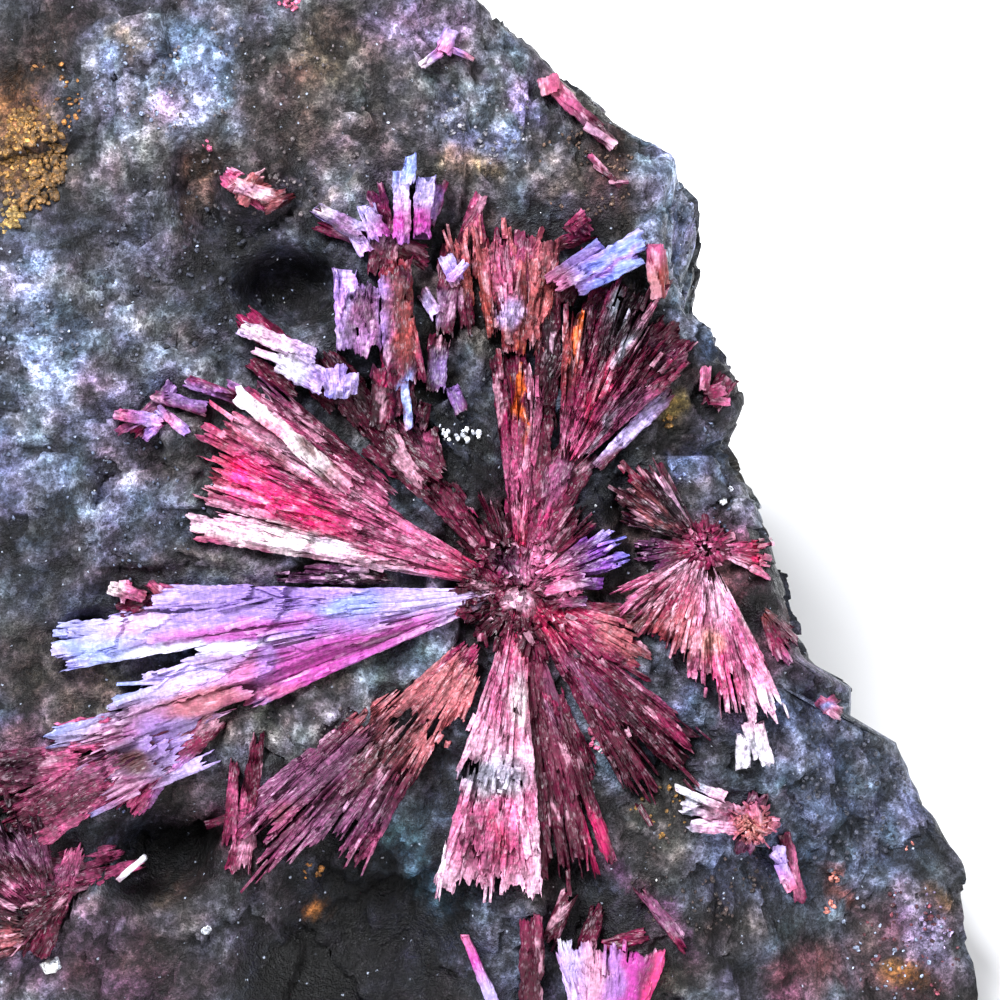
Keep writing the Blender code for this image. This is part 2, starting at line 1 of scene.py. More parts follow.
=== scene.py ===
"""Erythrite specimen: sprays of crimson, pink and lilac blades on a chunk of dark matrix rock.

Places on the crystal face are given in the face's own frame, in millimetres: u to the right along
the face, v up the face, w out of the face.
"""
import math

import bpy
import numpy as np
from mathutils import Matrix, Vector


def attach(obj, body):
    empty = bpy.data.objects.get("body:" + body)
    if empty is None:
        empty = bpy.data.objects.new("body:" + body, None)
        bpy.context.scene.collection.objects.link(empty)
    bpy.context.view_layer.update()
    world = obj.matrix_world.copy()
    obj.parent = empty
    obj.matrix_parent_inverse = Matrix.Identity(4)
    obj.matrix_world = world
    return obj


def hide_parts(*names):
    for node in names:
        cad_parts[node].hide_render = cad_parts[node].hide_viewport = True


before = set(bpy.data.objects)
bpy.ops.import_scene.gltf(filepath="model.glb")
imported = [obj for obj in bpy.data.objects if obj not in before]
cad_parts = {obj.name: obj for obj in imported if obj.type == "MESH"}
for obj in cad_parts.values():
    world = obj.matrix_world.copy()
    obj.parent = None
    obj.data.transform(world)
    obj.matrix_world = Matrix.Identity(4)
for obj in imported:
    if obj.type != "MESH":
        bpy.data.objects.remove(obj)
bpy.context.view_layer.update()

# The matrix rock: a fist-shaped chunk of dark, fine-grained ore, broken on all sides.
# Its crystal face leans back at FACE_TILT, and the chunk stands on a flat break.
MM = 0.001
FACE_TILT = math.radians(40)
FACE_PLACE = (4.84, -5.93, 24.0)
MIDDLE = np.array([-4.0, -1.0])
OUTLINE = [
    (-0.1, 25.2), (3.1, 21.8), (5.9, 19.4), (8.5, 18.0), (10.9, 16.2), (11.1, 14.0), (10.5, 10.2),
    (12.1, 7.1), (12.6, 4.75), (11.7, 2.8), (13.2, 0.0), (14.3, -3.8), (15.2, -6.8), (15.9, -8.3),
    (18.3, -9.7), (18.8, -11.6), (21.4, -12.9), (22.8, -15.0), (24.6, -17.4), (25.9, -19.6),
    (26.1, -25.0), (25.4, -29.0), (22.5, -33.5), (10.0, -35.0), (-6.0, -34.5), (-20.0, -34.0),
    (-28.5, -31.0), (-32.6, -22.0), (-32.0, -12.0), (-33.8, -3.0), (-32.8, 7.0), (-34.6, 16.0),
    (-32.4, 26.0), (-24.5, 30.6), (-15.0, 31.0), (-9.0, 31.6), (-3.9, 28.9),
]
RIM_DEPTH = 13.0
THICKNESS = 42.0
SQUARENESS = 8.0
RELIEF_REACH = 1.6
BEHIND_FROM = 1.5
BEHIND_FADE = 6.0
TAPER = 0.05
TAPER_FROM = 2.5
TAPER_FADE = 10.0
INWARD = 0.35
# Lumps (+) and pits (-) of the crystal face: u, v, half width, half height, turn, height, steepness.
RELIEF = [
    (-17.0, 21.0, 5.0, 3.8, 20, 1.5, 2),
    (-23.5, 8.5, 4.5, 5.0, 0, 1.6, 2),
    (-22.5, -1.5, 4.0, 3.6, 0, 1.2, 2),
    (-12.0, 15.6, 2.0, 1.5, 0, 1.1, 4),
    (-15.2, 15.8, 1.2, 2.4, 10, -1.6, 4),
    (-10.4, 10.6, 2.5, 1.7, 0, -3.0, 4),
    (-5.0, 19.0, 6.5, 3.0, -20, 1.0, 2),
    (-2.6, 2.2, 3.0, 3.0, -30, 1.7, 3),
    (4.6, 0.2, 1.6, 1.8, 20, 1.0, 3),
    (5.2, -3.7, 2.0, 0.8, 0, 0.6, 3),
    (-15.8, -3.2, 4.2, 1.5, 10, 0.8, 3),
    (-20.4, -6.4, 1.0, 0.8, 0, -1.5, 4),
    (-9.0, -11.0, 4.5, 1.6, 20, 0.7, 3),
    (13.4, -4.8, 1.4, 1.3, 0, 0.9, 4),
    (-7.5, -22.0, 6.5, 3.6, 10, -2.2, 4),
    (-17.0, -17.8, 2.8, 2.0, 20, -3.4, 4),
    (7.5, -15.0, 2.6, 2.2, 0, -0.7, 3),
    (11.0, 14.4, 2.5, 5.2, -8, -3.6, 8),
    (21.5, -13.0, 4.5, 14.0, -28, -3.2, 2),
    (8.0, -23.0, 7.0, 3.0, 0, 0.8, 2),
    (-24.0, -19.0, 4.0, 4.0, 0, 0.6, 2),
]
ROUGHNESS = [(11.0, 1.3), (5.0, 0.5)]
FACE_ROUGHNESS = [(7.0, 0.45), (3.2, 0.25)]
CHIPS = [(9.5, 0.17)]
FACE_CHIPS = [(5.2, 0.14)]
BREAKS = [
    ((0.10, 1.0, 0.05), 20.0), ((-0.55, 0.75, 0.45), 23.0), ((0.70, 0.62, 0.30), 21.0),
    ((0.05, 0.60, 0.85), 26.5), ((-0.95, 0.10, -0.30), 26.5), ((0.85, 0.05, -0.55), 24.0),
]
BREAK_SOFTNESS = 14.0
# The fine grain of the broken surface, all over: size and height, and size and lean.
GRIT = [(2.3, 0.30), (1.1, 0.25), (0.55, 0.17)]
GRIT_CHIPS = [(2.6, 0.28), (1.1, 0.26)]
# Tops are worn: how far a chip stands out at most, and the grit, above which only a share of it is left.
CHIP_TOP = 0.35
GRIT_TOP = 0.08
GRIT_WORN = 0.25
# Cells along the side of the face's sheet of points and of the back's, and where their bends fall.
FACE_CELLS = 272
BACK_CELLS = 136
FACE_CORNER = 0.78
BACK_CORNER = 0.52
BACK_EDGE = 0.985


def to_world(points):
    """Face-frame millimetres to world metres: the face turned back by its tilt and put in place."""
    u, v, w = np.moveaxis(np.asarray(points, float), -1, 0)
    sine, cosine = math.sin(FACE_TILT), math.cos(FACE_TILT)
    x = u + FACE_PLACE[0]
    y = v * sine - w * cosine + FACE_PLACE[1]
    z = v * cosine + w * sine + FACE_PLACE[2]
    return np.stack([x, y, z], axis=-1) * MM


def to_face(points):
    """World metres back to face-frame millimetres."""
    x, y, z = np.moveaxis(np.asarray(points, float) / MM - np.array(FACE_PLACE), -1, 0)
    sine, cosine = math.sin(FACE_TILT), math.cos(FACE_TILT)
    return np.stack([x, y * sine + z * cosine, z * sine - y * cosine], axis=-1)


def lattice_noise(points, size, seed):
    """Smooth noise from -1 to 1: a random slope at each lattice point, blended between them."""
    grid = np.asarray(points, float) / size + seed * 17.31
    cell = np.floor(grid).astype(np.int64)
    part = grid - cell
    blend = part ** 3 * (part * (part * 6 - 15) + 10)
    total = np.zeros(len(grid))
    for corner in np.ndindex(2, 2, 2):
        at = (cell + corner).astype(np.uint32)
        key = at[:, 0] * np.uint32(374761393) + at[:, 1] * np.uint32(668265263)
        key = key + at[:, 2] * np.uint32(2246822519) + np.uint32(seed * 977 + 13)
        key = (key ^ (key >> np.uint32(13))) * np.uint32(1274126177)
        key = key ^ (key >> np.uint32(16))
        slopes = np.stack([(key >> np.uint32(shift)) & np.uint32(1023) for shift in (0, 10, 20)], axis=1)
        away = part - corner
        weight = np.prod(np.where(np.array(corner) == 1, blend, 1 - blend), axis=1)
        total += weight * ((slopes / 511.5 - 1) * away).sum(axis=1)
    return total * 1.6


def chips(points, size, seed, level=False):
    """Cells round scattered middles: at each point, its cell's leaning plane (-1 to 1) and lot (0 to 1).
    For points at one level the cells above and below aren't asked."""
    grid = np.asarray(points, float) / size + seed * 9.73
    cell = np.floor(grid).astype(np.int64)
    nearest = np.full(len(grid), np.inf)
    height, lot = np.zeros(len(grid)), np.zeros(len(grid))
    for corner in np.ndindex(3, 3, 1 if level else 3):
        at = cell + np.array(corner) - np.array([1, 1, 0 if level else 1])
        x, y, z = at.astype(np.uint32).T
        key = x * np.uint32(73856093) ^ y * np.uint32(19349663) ^ z * np.uint32(83492791)
        key = (key + np.uint32(seed * 131)) * np.uint32(2654435761)
        key = (key ^ (key >> np.uint32(15))) * np.uint32(2246822519)
        key = key ^ (key >> np.uint32(13))
        shares = [((key >> np.uint32(shift)) & np.uint32(31)) / 31.0 for shift in (0, 5, 10, 15, 20, 25)]
        away = grid - (at + np.stack(shares[:3], axis=1))
        distance = (away ** 2).sum(axis=1)
        plane = (away * (np.stack(shares[3:], axis=1) * 2 - 1)).sum(axis=1)
        closer = distance < nearest
        height = np.where(closer, plane, height)
        lot = np.where(closer, (key * np.uint32(40503) >> np.uint32(16)) / 65535, lot)
        nearest = np.minimum(nearest, distance)
    return height, lot


def chipped(points, size, lean, seed):
    """Flat facets: each point takes the height of a leaning plane that belongs to its nearest chip."""
    return chips(points, size, seed)[0] * size * lean


def outline_radius(angle):
    """Distance from the middle of the face to its outline, along an angle."""
    corners = np.array(OUTLINE) - MIDDLE
    angles = np.arctan2(corners[:, 1], corners[:, 0])
    order = np.argsort(angles)
    return np.interp(angle, angles[order], np.hypot(*corners[order].T), period=2 * math.pi)


def in_spot(u, v, at_u, at_v, half_u, half_v, turn):
    """Distance from a turned ellipse's middle, where 1 is its edge."""
    c, s = math.cos(math.radians(turn)), math.sin(math.radians(turn))
    return np.hypot(((u - at_u) * c + (v - at_v) * s) / half_u, ((v - at_v) * c - (u - at_u) * s) / half_v)


def face_relief(u, v):
    """Lumps and pits of the face at u, v: each one a raised or sunk spot with a soft or steep edge."""
    height = np.zeros_like(u)
    for at_u, at_v, half_u, half_v, turn, rise, steepness in RELIEF:
        height += rise * np.exp(-in_spot(u, v, at_u, at_v, half_u, half_v, turn) ** steepness)
    place = np.stack([u, v, np.zeros_like(u)], axis=-1)
    for seed, (size, rise) in enumerate(FACE_ROUGHNESS, start=31):
        height += rise * lattice_noise(place, size, seed)
    for seed, (size, lean) in enumerate(FACE_CHIPS, start=41):
        height += chipped(place, size, lean, seed)
    return height


def face_height(u, v):
    """Height w of the crystal face at u, v: its relief, less a rim that falls away as a superellipse."""
    away_u, away_v = u - MIDDLE[0], v - MIDDLE[1]
    share = np.hypot(away_u, away_v) / outline_radius(np.arctan2(away_v, away_u))
    left = (1 - np.clip(share, 0, 1) ** SQUARENESS) ** (1 / SQUARENESS)
    return face_relief(u, v) * np.clip(left * RELIEF_REACH, 0, 1) - RIM_DEPTH * (1 - left)


def square_on_disc(cells):
    """Radius and angle of a square grid pressed into a disc: each square ring becomes a circle."""
    side = np.linspace(-1, 1, cells + 1)
    a, b = np.meshgrid(side, side, indexing="ij")
    wide = np.abs(a) >= np.abs(b)
    near, far = np.where(wide, a, b), np.where(wide, b, a)
    bend = math.pi / 4 * far / np.where(near == 0, 1, near)
    angle = np.where(wide, bend, math.pi / 2 - bend) + np.where(near < 0, math.pi, 0)
    return np.maximum(np.abs(a), np.abs(b)).ravel(), angle.ravel()


def grid_faces(cells, first):
    """Four-sided faces of a square grid of points, the first of them numbered first."""
    start = (np.arange(cells)[:, None] * (cells + 1) + np.arange(cells)).ravel() + first
    return np.stack([start, start + cells + 1, start + cells + 2, start + 1], axis=1)


def grid_rim(cells, first):
    """The outermost points of a square grid, in turn, once round."""
    up, row = np.arange(cells), cells + 1
    right, top = cells * row + up, (cells - up) * row + cells
    return np.concatenate([right, top, cells - up, up * row]) + first


def wrapped(spread, turn, corner, front):
    """Points of the chunk before it is broken: a superellipse from the face's middle, over the rim, to the back."""
    lean = np.where(spread < corner, spread / corner, 1 + (spread - corner) / (1 - corner)) * 45
    s, c = np.sin(np.radians(lean)), np.cos(np.radians(lean))
    size = (s ** SQUARENESS + c ** SQUARENESS) ** (1 / SQUARENESS)
    share, left = s / size, c / size
    reach = outline_radius(turn) * share
    u, v = MIDDLE[0] + reach * np.cos(turn), MIDDLE[1] + reach * np.sin(turn)
    if front:
        w = face_relief(u, v) * np.clip(left * RELIEF_REACH, 0, 1) - RIM_DEPTH * (1 - left)
    else:
        w = -RIM_DEPTH - (THICKNESS - RIM_DEPTH) * left
    narrow = 1 - TAPER * np.clip((-w - TAPER_FROM) / TAPER_FADE, 0, 1)
    return np.stack([MIDDLE[0] + (u - MIDDLE[0]) * narrow, MIDDLE[1] + (v - MIDDLE[1]) * narrow, w], axis=1)


def broken(points):
    """The wrapped chunk with its bulges, breaks, chips, grit and flat base; also how proud the grit stands."""
    middle = np.array([MIDDLE[0], MIDDLE[1], -RIM_DEPTH])
    behind = np.clip((-points[:, 2] - BEHIND_FROM) / BEHIND_FADE, 0, 1)
    for seed, (size, rise) in enumerate(ROUGHNESS, start=3):
        bulge = (lattice_noise(points, size, seed) - INWARD) * rise * behind
        ray = points - middle
        points = points + ray / np.linalg.norm(ray, axis=1)[:, None] * bulge[:, None]
    world, centre = to_world(points) / MM, to_world(middle) / MM
    ray = world - centre
    crowd = np.ones(len(ray))
    for normal, distance in BREAKS:
        looks = np.array(normal) / np.linalg.norm(normal)
        crowd += np.clip(ray @ looks / distance, 0, None) ** BREAK_SOFTNESS * behind
    ray = ray / crowd[:, None] ** (1 / BREAK_SOFTNESS)
    chip = sum(chipped(centre + ray, size, lean, seed) for seed, (size, lean) in enumerate(CHIPS, start=51))
    chip = np.minimum(chip, CHIP_TOP)
    ray = ray * (1 + chip * behind / np.linalg.norm(ray, axis=1))[:, None]
    grit = sum(lattice_noise(ray, size, seed) * rise for seed, (size, rise) in enumerate(GRIT, start=71))
    grit = grit + sum(chipped(ray, size, lean, seed) for seed, (size, lean) in enumerate(GRIT_CHIPS, start=81))
    worn = np.minimum(grit, GRIT_TOP + GRIT_WORN * grit)
    ray = ray * (1 + worn / np.linalg.norm(ray, axis=1))[:, None]
    below = centre[2] + ray[:, 2] < 0
    ray[below] *= (-centre[2] / ray[below, 2])[:, None]
    world = centre + ray
    world[below, 2] = 0.0
    return world * MM, grit


def srgb(red, green, blue):
    """A colour as it is mixed for the eye, 0 to 255, to the light that it throws back."""
    share = np.array([red, green, blue]) / 255
    return np.where(share <= 0.04045, share / 12.92, ((share + 0.055) / 1.055) ** 2.4)


STONE = {
    "slate": srgb(58, 60, 72), "night": srgb(11, 12, 19), "black": srgb(10, 9, 13), "umber": srgb(52, 40, 38),
    "brown": srgb(96, 74, 62), "rust": srgb(140, 92, 44), "ochre": srgb(150, 122, 70), "olive": srgb(82, 74, 70),
    "sage": srgb(112, 110, 118), "ash": srgb(100, 104, 120), "mist": srgb(126, 136, 164),
    "quartz": srgb(146, 156, 182), "lavender": srgb(150, 132, 170), "mauve": srgb(104, 66, 92),
    "teal": srgb(70, 92, 112), "blue": srgb(100, 112, 150), "taupe": srgb(88, 80, 82),
    "wine": srgb(84, 38, 48), "steel": srgb(84, 92, 114), "salmon": srgb(190, 104, 98),
}
# Coloured spots on the face: the rock's own stain colours, and painted shade in its recess, hollow, hole, crevice
# and bottom pit and a painted glint where marked: u, v, half width, half height, turn, colour, cover.
STAINS_AND_PAINTED_LIGHT = [
    (-10.0, 16.5, 16.0, 9.0, 0, "taupe", 0.55), (-18.0, 8.0, 8.0, 9.0, 0, "ash", 0.45),
    (-21.8, 21.5, 4.6, 4.6, 0, "umber", 0.90), (-10.5, 20.5, 2.6, 4.0, 20, "umber", 0.5),
    (-24.0, 17.5, 2.2, 3.0, 0, "rust", 0.55),
    (-16.9, 20.9, 4.2, 2.9, 20, "quartz", 0.62), (-14.8, 22.8, 2.0, 1.6, 0, "mist", 0.6),
    (-16.2, 19.6, 1.4, 1.0, 30, "lavender", 0.75), (-17.8, 17.7, 1.9, 0.7, 0, "sage", 0.75),
    (-18.6, 22.8, 0.8, 0.5, 0, "ochre", 0.4), (-19.5, 13.8, 4.0, 2.4, 0, "slate", 0.5),
    (-11.0, 20.5, 3.2, 3.5, 0, "umber", 0.55), (-7.5, 22.5, 2.2, 1.6, 0, "brown", 0.55),
    (-6.8, 18.2, 3.0, 2.4, 0, "taupe", 0.6), (-3.6, 23.6, 2.4, 1.5, 20, "lavender", 0.75),
    (-1.4, 19.4, 2.6, 1.2, -45, "sage", 0.8), (-0.6, 18.0, 2.2, 1.1, -20, "mist", 0.65),
    (0.9, 20.0, 1.5, 0.6, -50, "lavender", 0.85), (0.2, 22.2, 1.8, 1.2, -40, "ash", 0.6),
    (-0.9, 16.9, 1.5, 0.9, 0, "ochre", 0.45), (3.4, 16.8, 2.2, 1.4, -20, "olive", 0.75),
    (4.8, 14.2, 3.2, 1.7, 0, "umber", 0.6), (2.6, 14.9, 1.8, 0.8, 0, "slate", 0.8),
    (5.6, 17.2, 1.6, 1.6, -30, "wine", 0.35), (7.0, 14.8, 0.9, 3.2, 15, "brown", 0.6),
    (-23.6, 8.2, 2.2, 3.6, 10, "mist", 0.75), (-24.2, 10.8, 1.7, 0.9, 0, "quartz", 0.5),
    # The night and black spots in this line and the next five darken the recess under the upper ledge and the
    # hollow beside it: painted shade.
    (-20.3, 6.2, 1.2, 1.6, 0, "brown", 0.4), (-12.8, 7.4, 2.2, 1.8, 0, "night", 0.6),
    (-16.4, 9.6, 1.6, 2.4, 20, "night", 0.45), (-17.2, 8.0, 2.0, 1.6, 0, "sage", 0.35),
    (-16.6, 6.4, 2.0, 1.0, 0, "mist", 0.45), (-14.0, 14.5, 2.2, 3.4, 0, "night", 0.7),
    (-15.0, 15.8, 0.5, 2.2, -20, "brown", 0.7), (-9.0, 12.3, 3.2, 1.6, -10, "slate", 0.7),
    (-10.4, 10.3, 2.9, 1.8, 0, "black", 0.97), (-14.4, 10.2, 2.4, 2.6, 0, "night", 0.6),
    (-13.6, 12.6, 3.0, 3.0, 0, "black", 0.7), (-7.5, 8.4, 1.4, 2.6, 0, "night", 0.7),
    (-24.0, 2.2, 3.0, 2.6, 0, "steel", 0.6),
    (-19.6, -0.6, 3.2, 3.4, 0, "steel", 0.55), (-19.9, -1.6, 0.9, 1.4, 0, "mist", 0.5),
    (-17.2, 1.8, 2.2, 1.5, 0, "brown", 0.3), (-22.6, -3.4, 2.6, 2.4, 0, "slate", 0.5),
    (-16.6, -3.2, 5.0, 1.6, 8, "umber", 0.65), (-13.2, -3.6, 3.6, 1.0, 0, "taupe", 0.4),
    # The black spot at -21.0, -6.2 is painted shadow in the crevice under the ledge above the left fan's tip.
    (-21.0, -6.2, 2.0, 1.1, 10, "black", 0.9), (-23.5, -8.2, 1.8, 2.6, 0, "umber", 0.75),
    (-2.6, 2.2, 3.2, 3.2, -30, "night", 0.85), (-2.2, 3.0, 2.0, 0.35, -40, "steel", 0.7),
    (4.6, 0.2, 1.9, 2.0, 20, "night", 0.85), (-3.2, -1.8, 3.0, 1.5, 0, "night", 0.8),
    (5.4, -3.6, 2.2, 1.0, 0, "night", 0.8), (-4.2, 9.0, 1.4, 3.6, 15, "slate", 0.75),
    (-3.2, 8.2, 0.9, 1.8, 10, "olive", 0.6), (-1.8, 6.6, 1.2, 1.0, 0, "mist", 0.6),
    (-9.2, -11.2, 5.6, 1.5, 22, "sage", 0.85), (-7.0, -13.5, 3.6, 1.8, 35, "olive", 0.45),
    (-20.6, -8.2, 3.0, 0.9, 0, "olive", 0.55), (-13.4, -15.5, 1.2, 2.2, 0, "mauve", 0.6),
    (-22.6, -17.2, 2.4, 1.8, 0, "slate", 0.7), (-23.5, -12.5, 2.4, 1.8, 0, "mauve", 0.55),
    # The black spot at -16.5, -18.2 is painted shade in the hole at the lower left.
    (-20.5, -22.5, 5.0, 3.0, 0, "mauve", 0.40), (-16.5, -18.2, 3.2, 2.3, 20, "black", 0.9),
    (-15.4, -22.0, 2.0, 3.6, 0, "umber", 0.6), (-11.8, -19.8, 1.4, 2.0, 0, "olive", 0.5),
    # The night and black spots here darken the bottom left where the face slopes away into a broad pit: painted
    # shade.
    (-7.0, -21.5, 6.2, 4.4, 10, "night", 0.92), (-8.0, -24.0, 7.0, 3.4, 0, "black", 0.95),
    (-7.0, -21.0, 5.2, 3.0, 10, "black", 0.75),
    (-3.8, -17.8, 1.2, 2.8, 20, "teal", 0.45), (-9.4, -20.2, 0.7, 0.45, 0, "rust", 0.55),
    (6.0, -13.2, 1.6, 1.6, 0, "teal", 0.75), (5.0, -21.0, 3.0, 1.6, 0, "night", 0.7),
    (8.2, -15.6, 3.0, 1.8, -15, "olive", 0.5), (8.8, -18.4, 3.0, 1.7, 0, "olive", 0.45),
    (9.2, -21.4, 2.5, 1.6, 0, "umber", 0.6), (7.5, -20.8, 3.2, 0.6, -48, "mauve", 0.75),
    (14.6, -13.2, 1.5, 1.4, 0, "brown", 0.6), (13.0, -17.8, 3.2, 2.4, 0, "steel", 0.75),
    (15.6, -11.0, 3.4, 5.0, 0, "steel", 0.9), (18.5, -16.0, 3.2, 4.5, -25, "steel", 0.85),
    (13.6, -4.8, 1.7, 1.5, 0, "night", 0.85), (14.6, -7.2, 1.9, 1.9, -20, "wine", 0.65),
    (9.0, 1.6, 2.0, 1.8, 0, "umber", 0.55), (8.6, 4.1, 0.7, 0.6, -30, "ochre", 0.7),
    (9.0, 1.6, 0.8, 0.8, 0, "blue", 0.7), (10.6, 2.2, 1.2, 1.4, 0, "steel", 0.6),
    (10.6, 8.2, 1.0, 1.6, 0, "blue", 0.4), (10.4, 6.2, 1.4, 0.8, 0, "umber", 0.6),
    (8.6, 14.0, 1.7, 5.4, 4, "mist", 0.92), (8.9, 16.6, 1.1, 1.3, 0, "quartz", 0.65),
    (9.1, 12.8, 0.8, 1.0, 0, "steel", 0.7), (8.4, 15.0, 0.7, 0.8, 0, "steel", 0.5),
    # The lavender spot at 21.4, -21.6 is a painted glint.
    (20.3, -22.4, 2.9, 3.2, 0, "wine", 0.50), (21.4, -21.6, 1.1, 2.0, 25, "lavender", 0.75),
    (20.4, -23.8, 0.9, 0.7, 0, "rust", 0.75), (15.8, -23.8, 2.0, 1.5, 30, "wine", 0.65),
    (18.2, -21.5, 1.3, 1.8, 20, "umber", 0.6), (22.2, -20.4, 0.9, 1.0, 0, "rust", 0.5),
    (16.6, -19.4, 0.5, 0.8, -20, "salmon", 0.6), (17.5, -20.6, 0.4, 0.5, 0, "salmon", 0.4),
    (1.5, -4.5, 4.0, 3.4, 0, "wine", 0.55), (10.5, -3.0, 2.6, 2.2, 0, "wine", 0.5),
]
STAIN_WANDER = [(3.4, 1.15), (1.3, 0.55), (0.5, 0.22)]
STAIN_EDGE = 4
# Colours of the rock away from the crystal face, and the size of their patches.
BROKEN_STONE = [("slate", 0.0), ("umber", 9.0), ("ash", 5.5), ("olive", 7.0), ("night", 4.2)]
# How far the grit's height darkens its pits and lightens its proud tops: painted shade and painted highlight.
GRIT_SHADE = 0.75
STONE_DEPTH = 0.78
# Mottling over all of it: size of its patches and how strong, and how far it takes red, green and blue.
MOTTLE = [(3.6, 0.50), (1.3, 0.60), (0.6, 0.45)]
MOTTLE_HUE = (0.38, 0.10, 0.34)
BLOTCHES = [(1.2, 0.55), (0.5, 0.55)]


def wandering(place, wander, seed):
    """Two shifts (mm) for points, by noise of several sizes, that give a stain its ragged edge."""
    return [sum(lattice_noise(place, size, seed + 7 * turn + k) * reach
                for k, (size, reach) in enumerate(wander)) for turn in range(2)]


def spotted(colour, place, stains, palette, wander, seed):
    """Lays coloured spots over a colour, real stain colours and painted light alike: each covers by its cover times
    exp(-distance^STAIN_EDGE) of its ellipse.
    """
    shift_u, shift_v = wandering(place, wander, seed)
    u, v = place[:, 0] + shift_u, place[:, 1] + shift_v
    for at_u, at_v, half_u, half_v, turn, name, cover in stains:
        share = cover * np.exp(-in_spot(u, v, at_u, at_v, half_u, half_v, turn) ** STAIN_EDGE)
        colour = colour + (palette[name] - colour) * share[:, None]
    return colour


def stone_colour(place, grit):
    """Colour of the rock at face-frame points: patchy stone, the face's stain spots and painted shade over it, then
    painted shade in the pits of the grit and painted highlight on its proud tops.
    """
    colour = np.tile(STONE["slate"], (len(place), 1))
    for seed, (name, size) in enumerate(BROKEN_STONE[1:], start=201):
        share = np.clip(lattice_noise(place, size, seed) * 2.2 - 0.15, 0, 1) * 0.8
        colour = colour + (STONE[name] - colour) * share[:, None]
    on_face = np.clip((place[:, 2] + 9.0) / 3.0, 0, 1)
    face = spotted(colour, place, STAINS_AND_PAINTED_LIGHT, STONE, STAIN_WANDER, 211)
    colour = colour + (face - colour) * on_face[:, None]
    # Painted shade in the pits of the grit, painted highlight on its proud tops.
    shade = np.clip(1 + GRIT_SHADE * grit / 0.30, 0.42, 1.6)
    for seed, (size, strength) in enumerate(BLOTCHES, start=251):
        shade = shade * np.exp(strength * (chips(place, size, seed)[1] - 0.5))
    for seed, (size, strength) in enumerate(MOTTLE, start=221):
        shade = shade * np.exp(strength * lattice_noise(place, size, seed))
        tilt = np.stack([lattice_noise(place, size * 1.3, seed + 10 * k) for k in (1, 2, 3)], axis=1)
        colour = colour * np.exp(tilt * np.array(MOTTLE_HUE) * strength)
    return np.clip(colour * shade[:, None] * STONE_DEPTH, 0.002, 0.9)


def put_mesh(name, points, faces, colours=None, fibre=None, smooth=False):
    """A mesh from an array of points and arrays of faces, with its colours and its fibre map (mm)."""
    mesh = bpy.data.meshes.new(name)
    mesh.vertices.add(len(points))
    mesh.vertices.foreach_set("co", np.asarray(points, np.float32).ravel())
    corners = np.concatenate([part.ravel() for part in faces])
    totals = np.concatenate([np.full(len(part), part.shape[1]) for part in faces])
    mesh.loops.add(len(corners))
    mesh.loops.foreach_set("vertex_index", corners.astype(np.int32))
    mesh.polygons.add(len(totals))
    mesh.polygons.foreach_set("loop_start", (np.cumsum(totals) - totals).astype(np.int32))
    mesh.polygons.foreach_set("use_smooth", np.full(len(totals), smooth))
    mesh.update(calc_edges=True)
    if colours is not None:
        tint = mesh.color_attributes.new(name="tint", type="FLOAT_COLOR", domain="POINT")
        opaque = np.column_stack([colours, np.ones(len(colours))])
        tint.data.foreach_set("color", opaque.astype(np.float32).ravel())
    if fibre is not None:
        layer = mesh.uv_layers.new(name="fibre")
        layer.data.foreach_set("uv", fibre[corners].astype(np.float32).ravel())
    piece = bpy.data.objects.new(name, mesh)
    bpy.context.scene.collection.objects.link(piece)
    return piece


def rock_sheets():
    """Points, faces and grit of the whole chunk: the face's sheet, the back's, and triangles that join them."""
    radius, turn = square_on_disc(FACE_CELLS)
    face = wrapped(radius, turn, FACE_CORNER, True)
    radius, turn = square_on_disc(BACK_CELLS)
    back = wrapped(radius * BACK_EDGE, turn, BACK_CORNER, False)
    points, grit = broken(np.concatenate([face, back]))
    outer, inner = grid_rim(FACE_CELLS, 0), grid_rim(BACK_CELLS, len(face))
    even, odd, after = outer[0::2], outer[1::2], np.roll(outer[0::2], -1)
    beside = np.roll(inner, -1)
    joint = [np.stack(three, axis=1) for three in ((inner, odd, even), (inner, beside, odd),
    (beside, after, odd))]
    faces = [grid_faces(FACE_CELLS, 0), grid_faces(BACK_CELLS, len(face))[:, ::-1], np.concatenate(joint)]
    return points, faces, grit


def new_node(tree, kind, **values):
    """A shader node with plain values set on its inputs, or on its own settings."""
    node = tree.nodes.new(kind)
    for name, value in values.items():
        label = name.replace("_", " ")
        if hasattr(node, name):
            setattr(node, name, value)
        else:
            node.inputs[label].default_value = value
    return node


def ramp_between(tree, value, low, high, start=0.0, end=1.0):
    """A value carried from low..high to start..end, and held there outside."""
    node = new_node(tree, "ShaderNodeMapRange")
    for name, number in zip(("From Min", "From Max", "To Min", "To Max"), (low, high, start, end)):
        node.inputs[name].default_value = number
    tree.links.new(value, node.inputs["Value"])
    return node.outputs["Result"]


def calculate(tree, operation, first, second=0.0):
    """One sum of two values, where each is a number or another node's output."""
    node = new_node(tree, "ShaderNodeMath", operation=operation)
    for socket, value in zip(node.inputs, (first, second)):
        if isinstance(value, (int, float)):
            socket.default_value = value
        else:
            tree.links.new(value, socket)
    return node.outputs["Value"]


def mix_colour(tree, blend, share, first, second):
    """Two colours mixed, where each is a plain colour or another node's output."""
    node = new_node(tree, "ShaderNodeMix", data_type="RGBA", blend_type=blend)
    for socket, value in ((node.inputs[0], share), (node.inputs[6], first), (node.inputs[7], second)):
        if isinstance(value, (int, float)):
            socket.default_value = value
        elif isinstance(value, (tuple, np.ndarray)):
            socket.default_value = (*value, 1.0)
        else:
            tree.links.new(value, socket)
    return node.outputs[2]


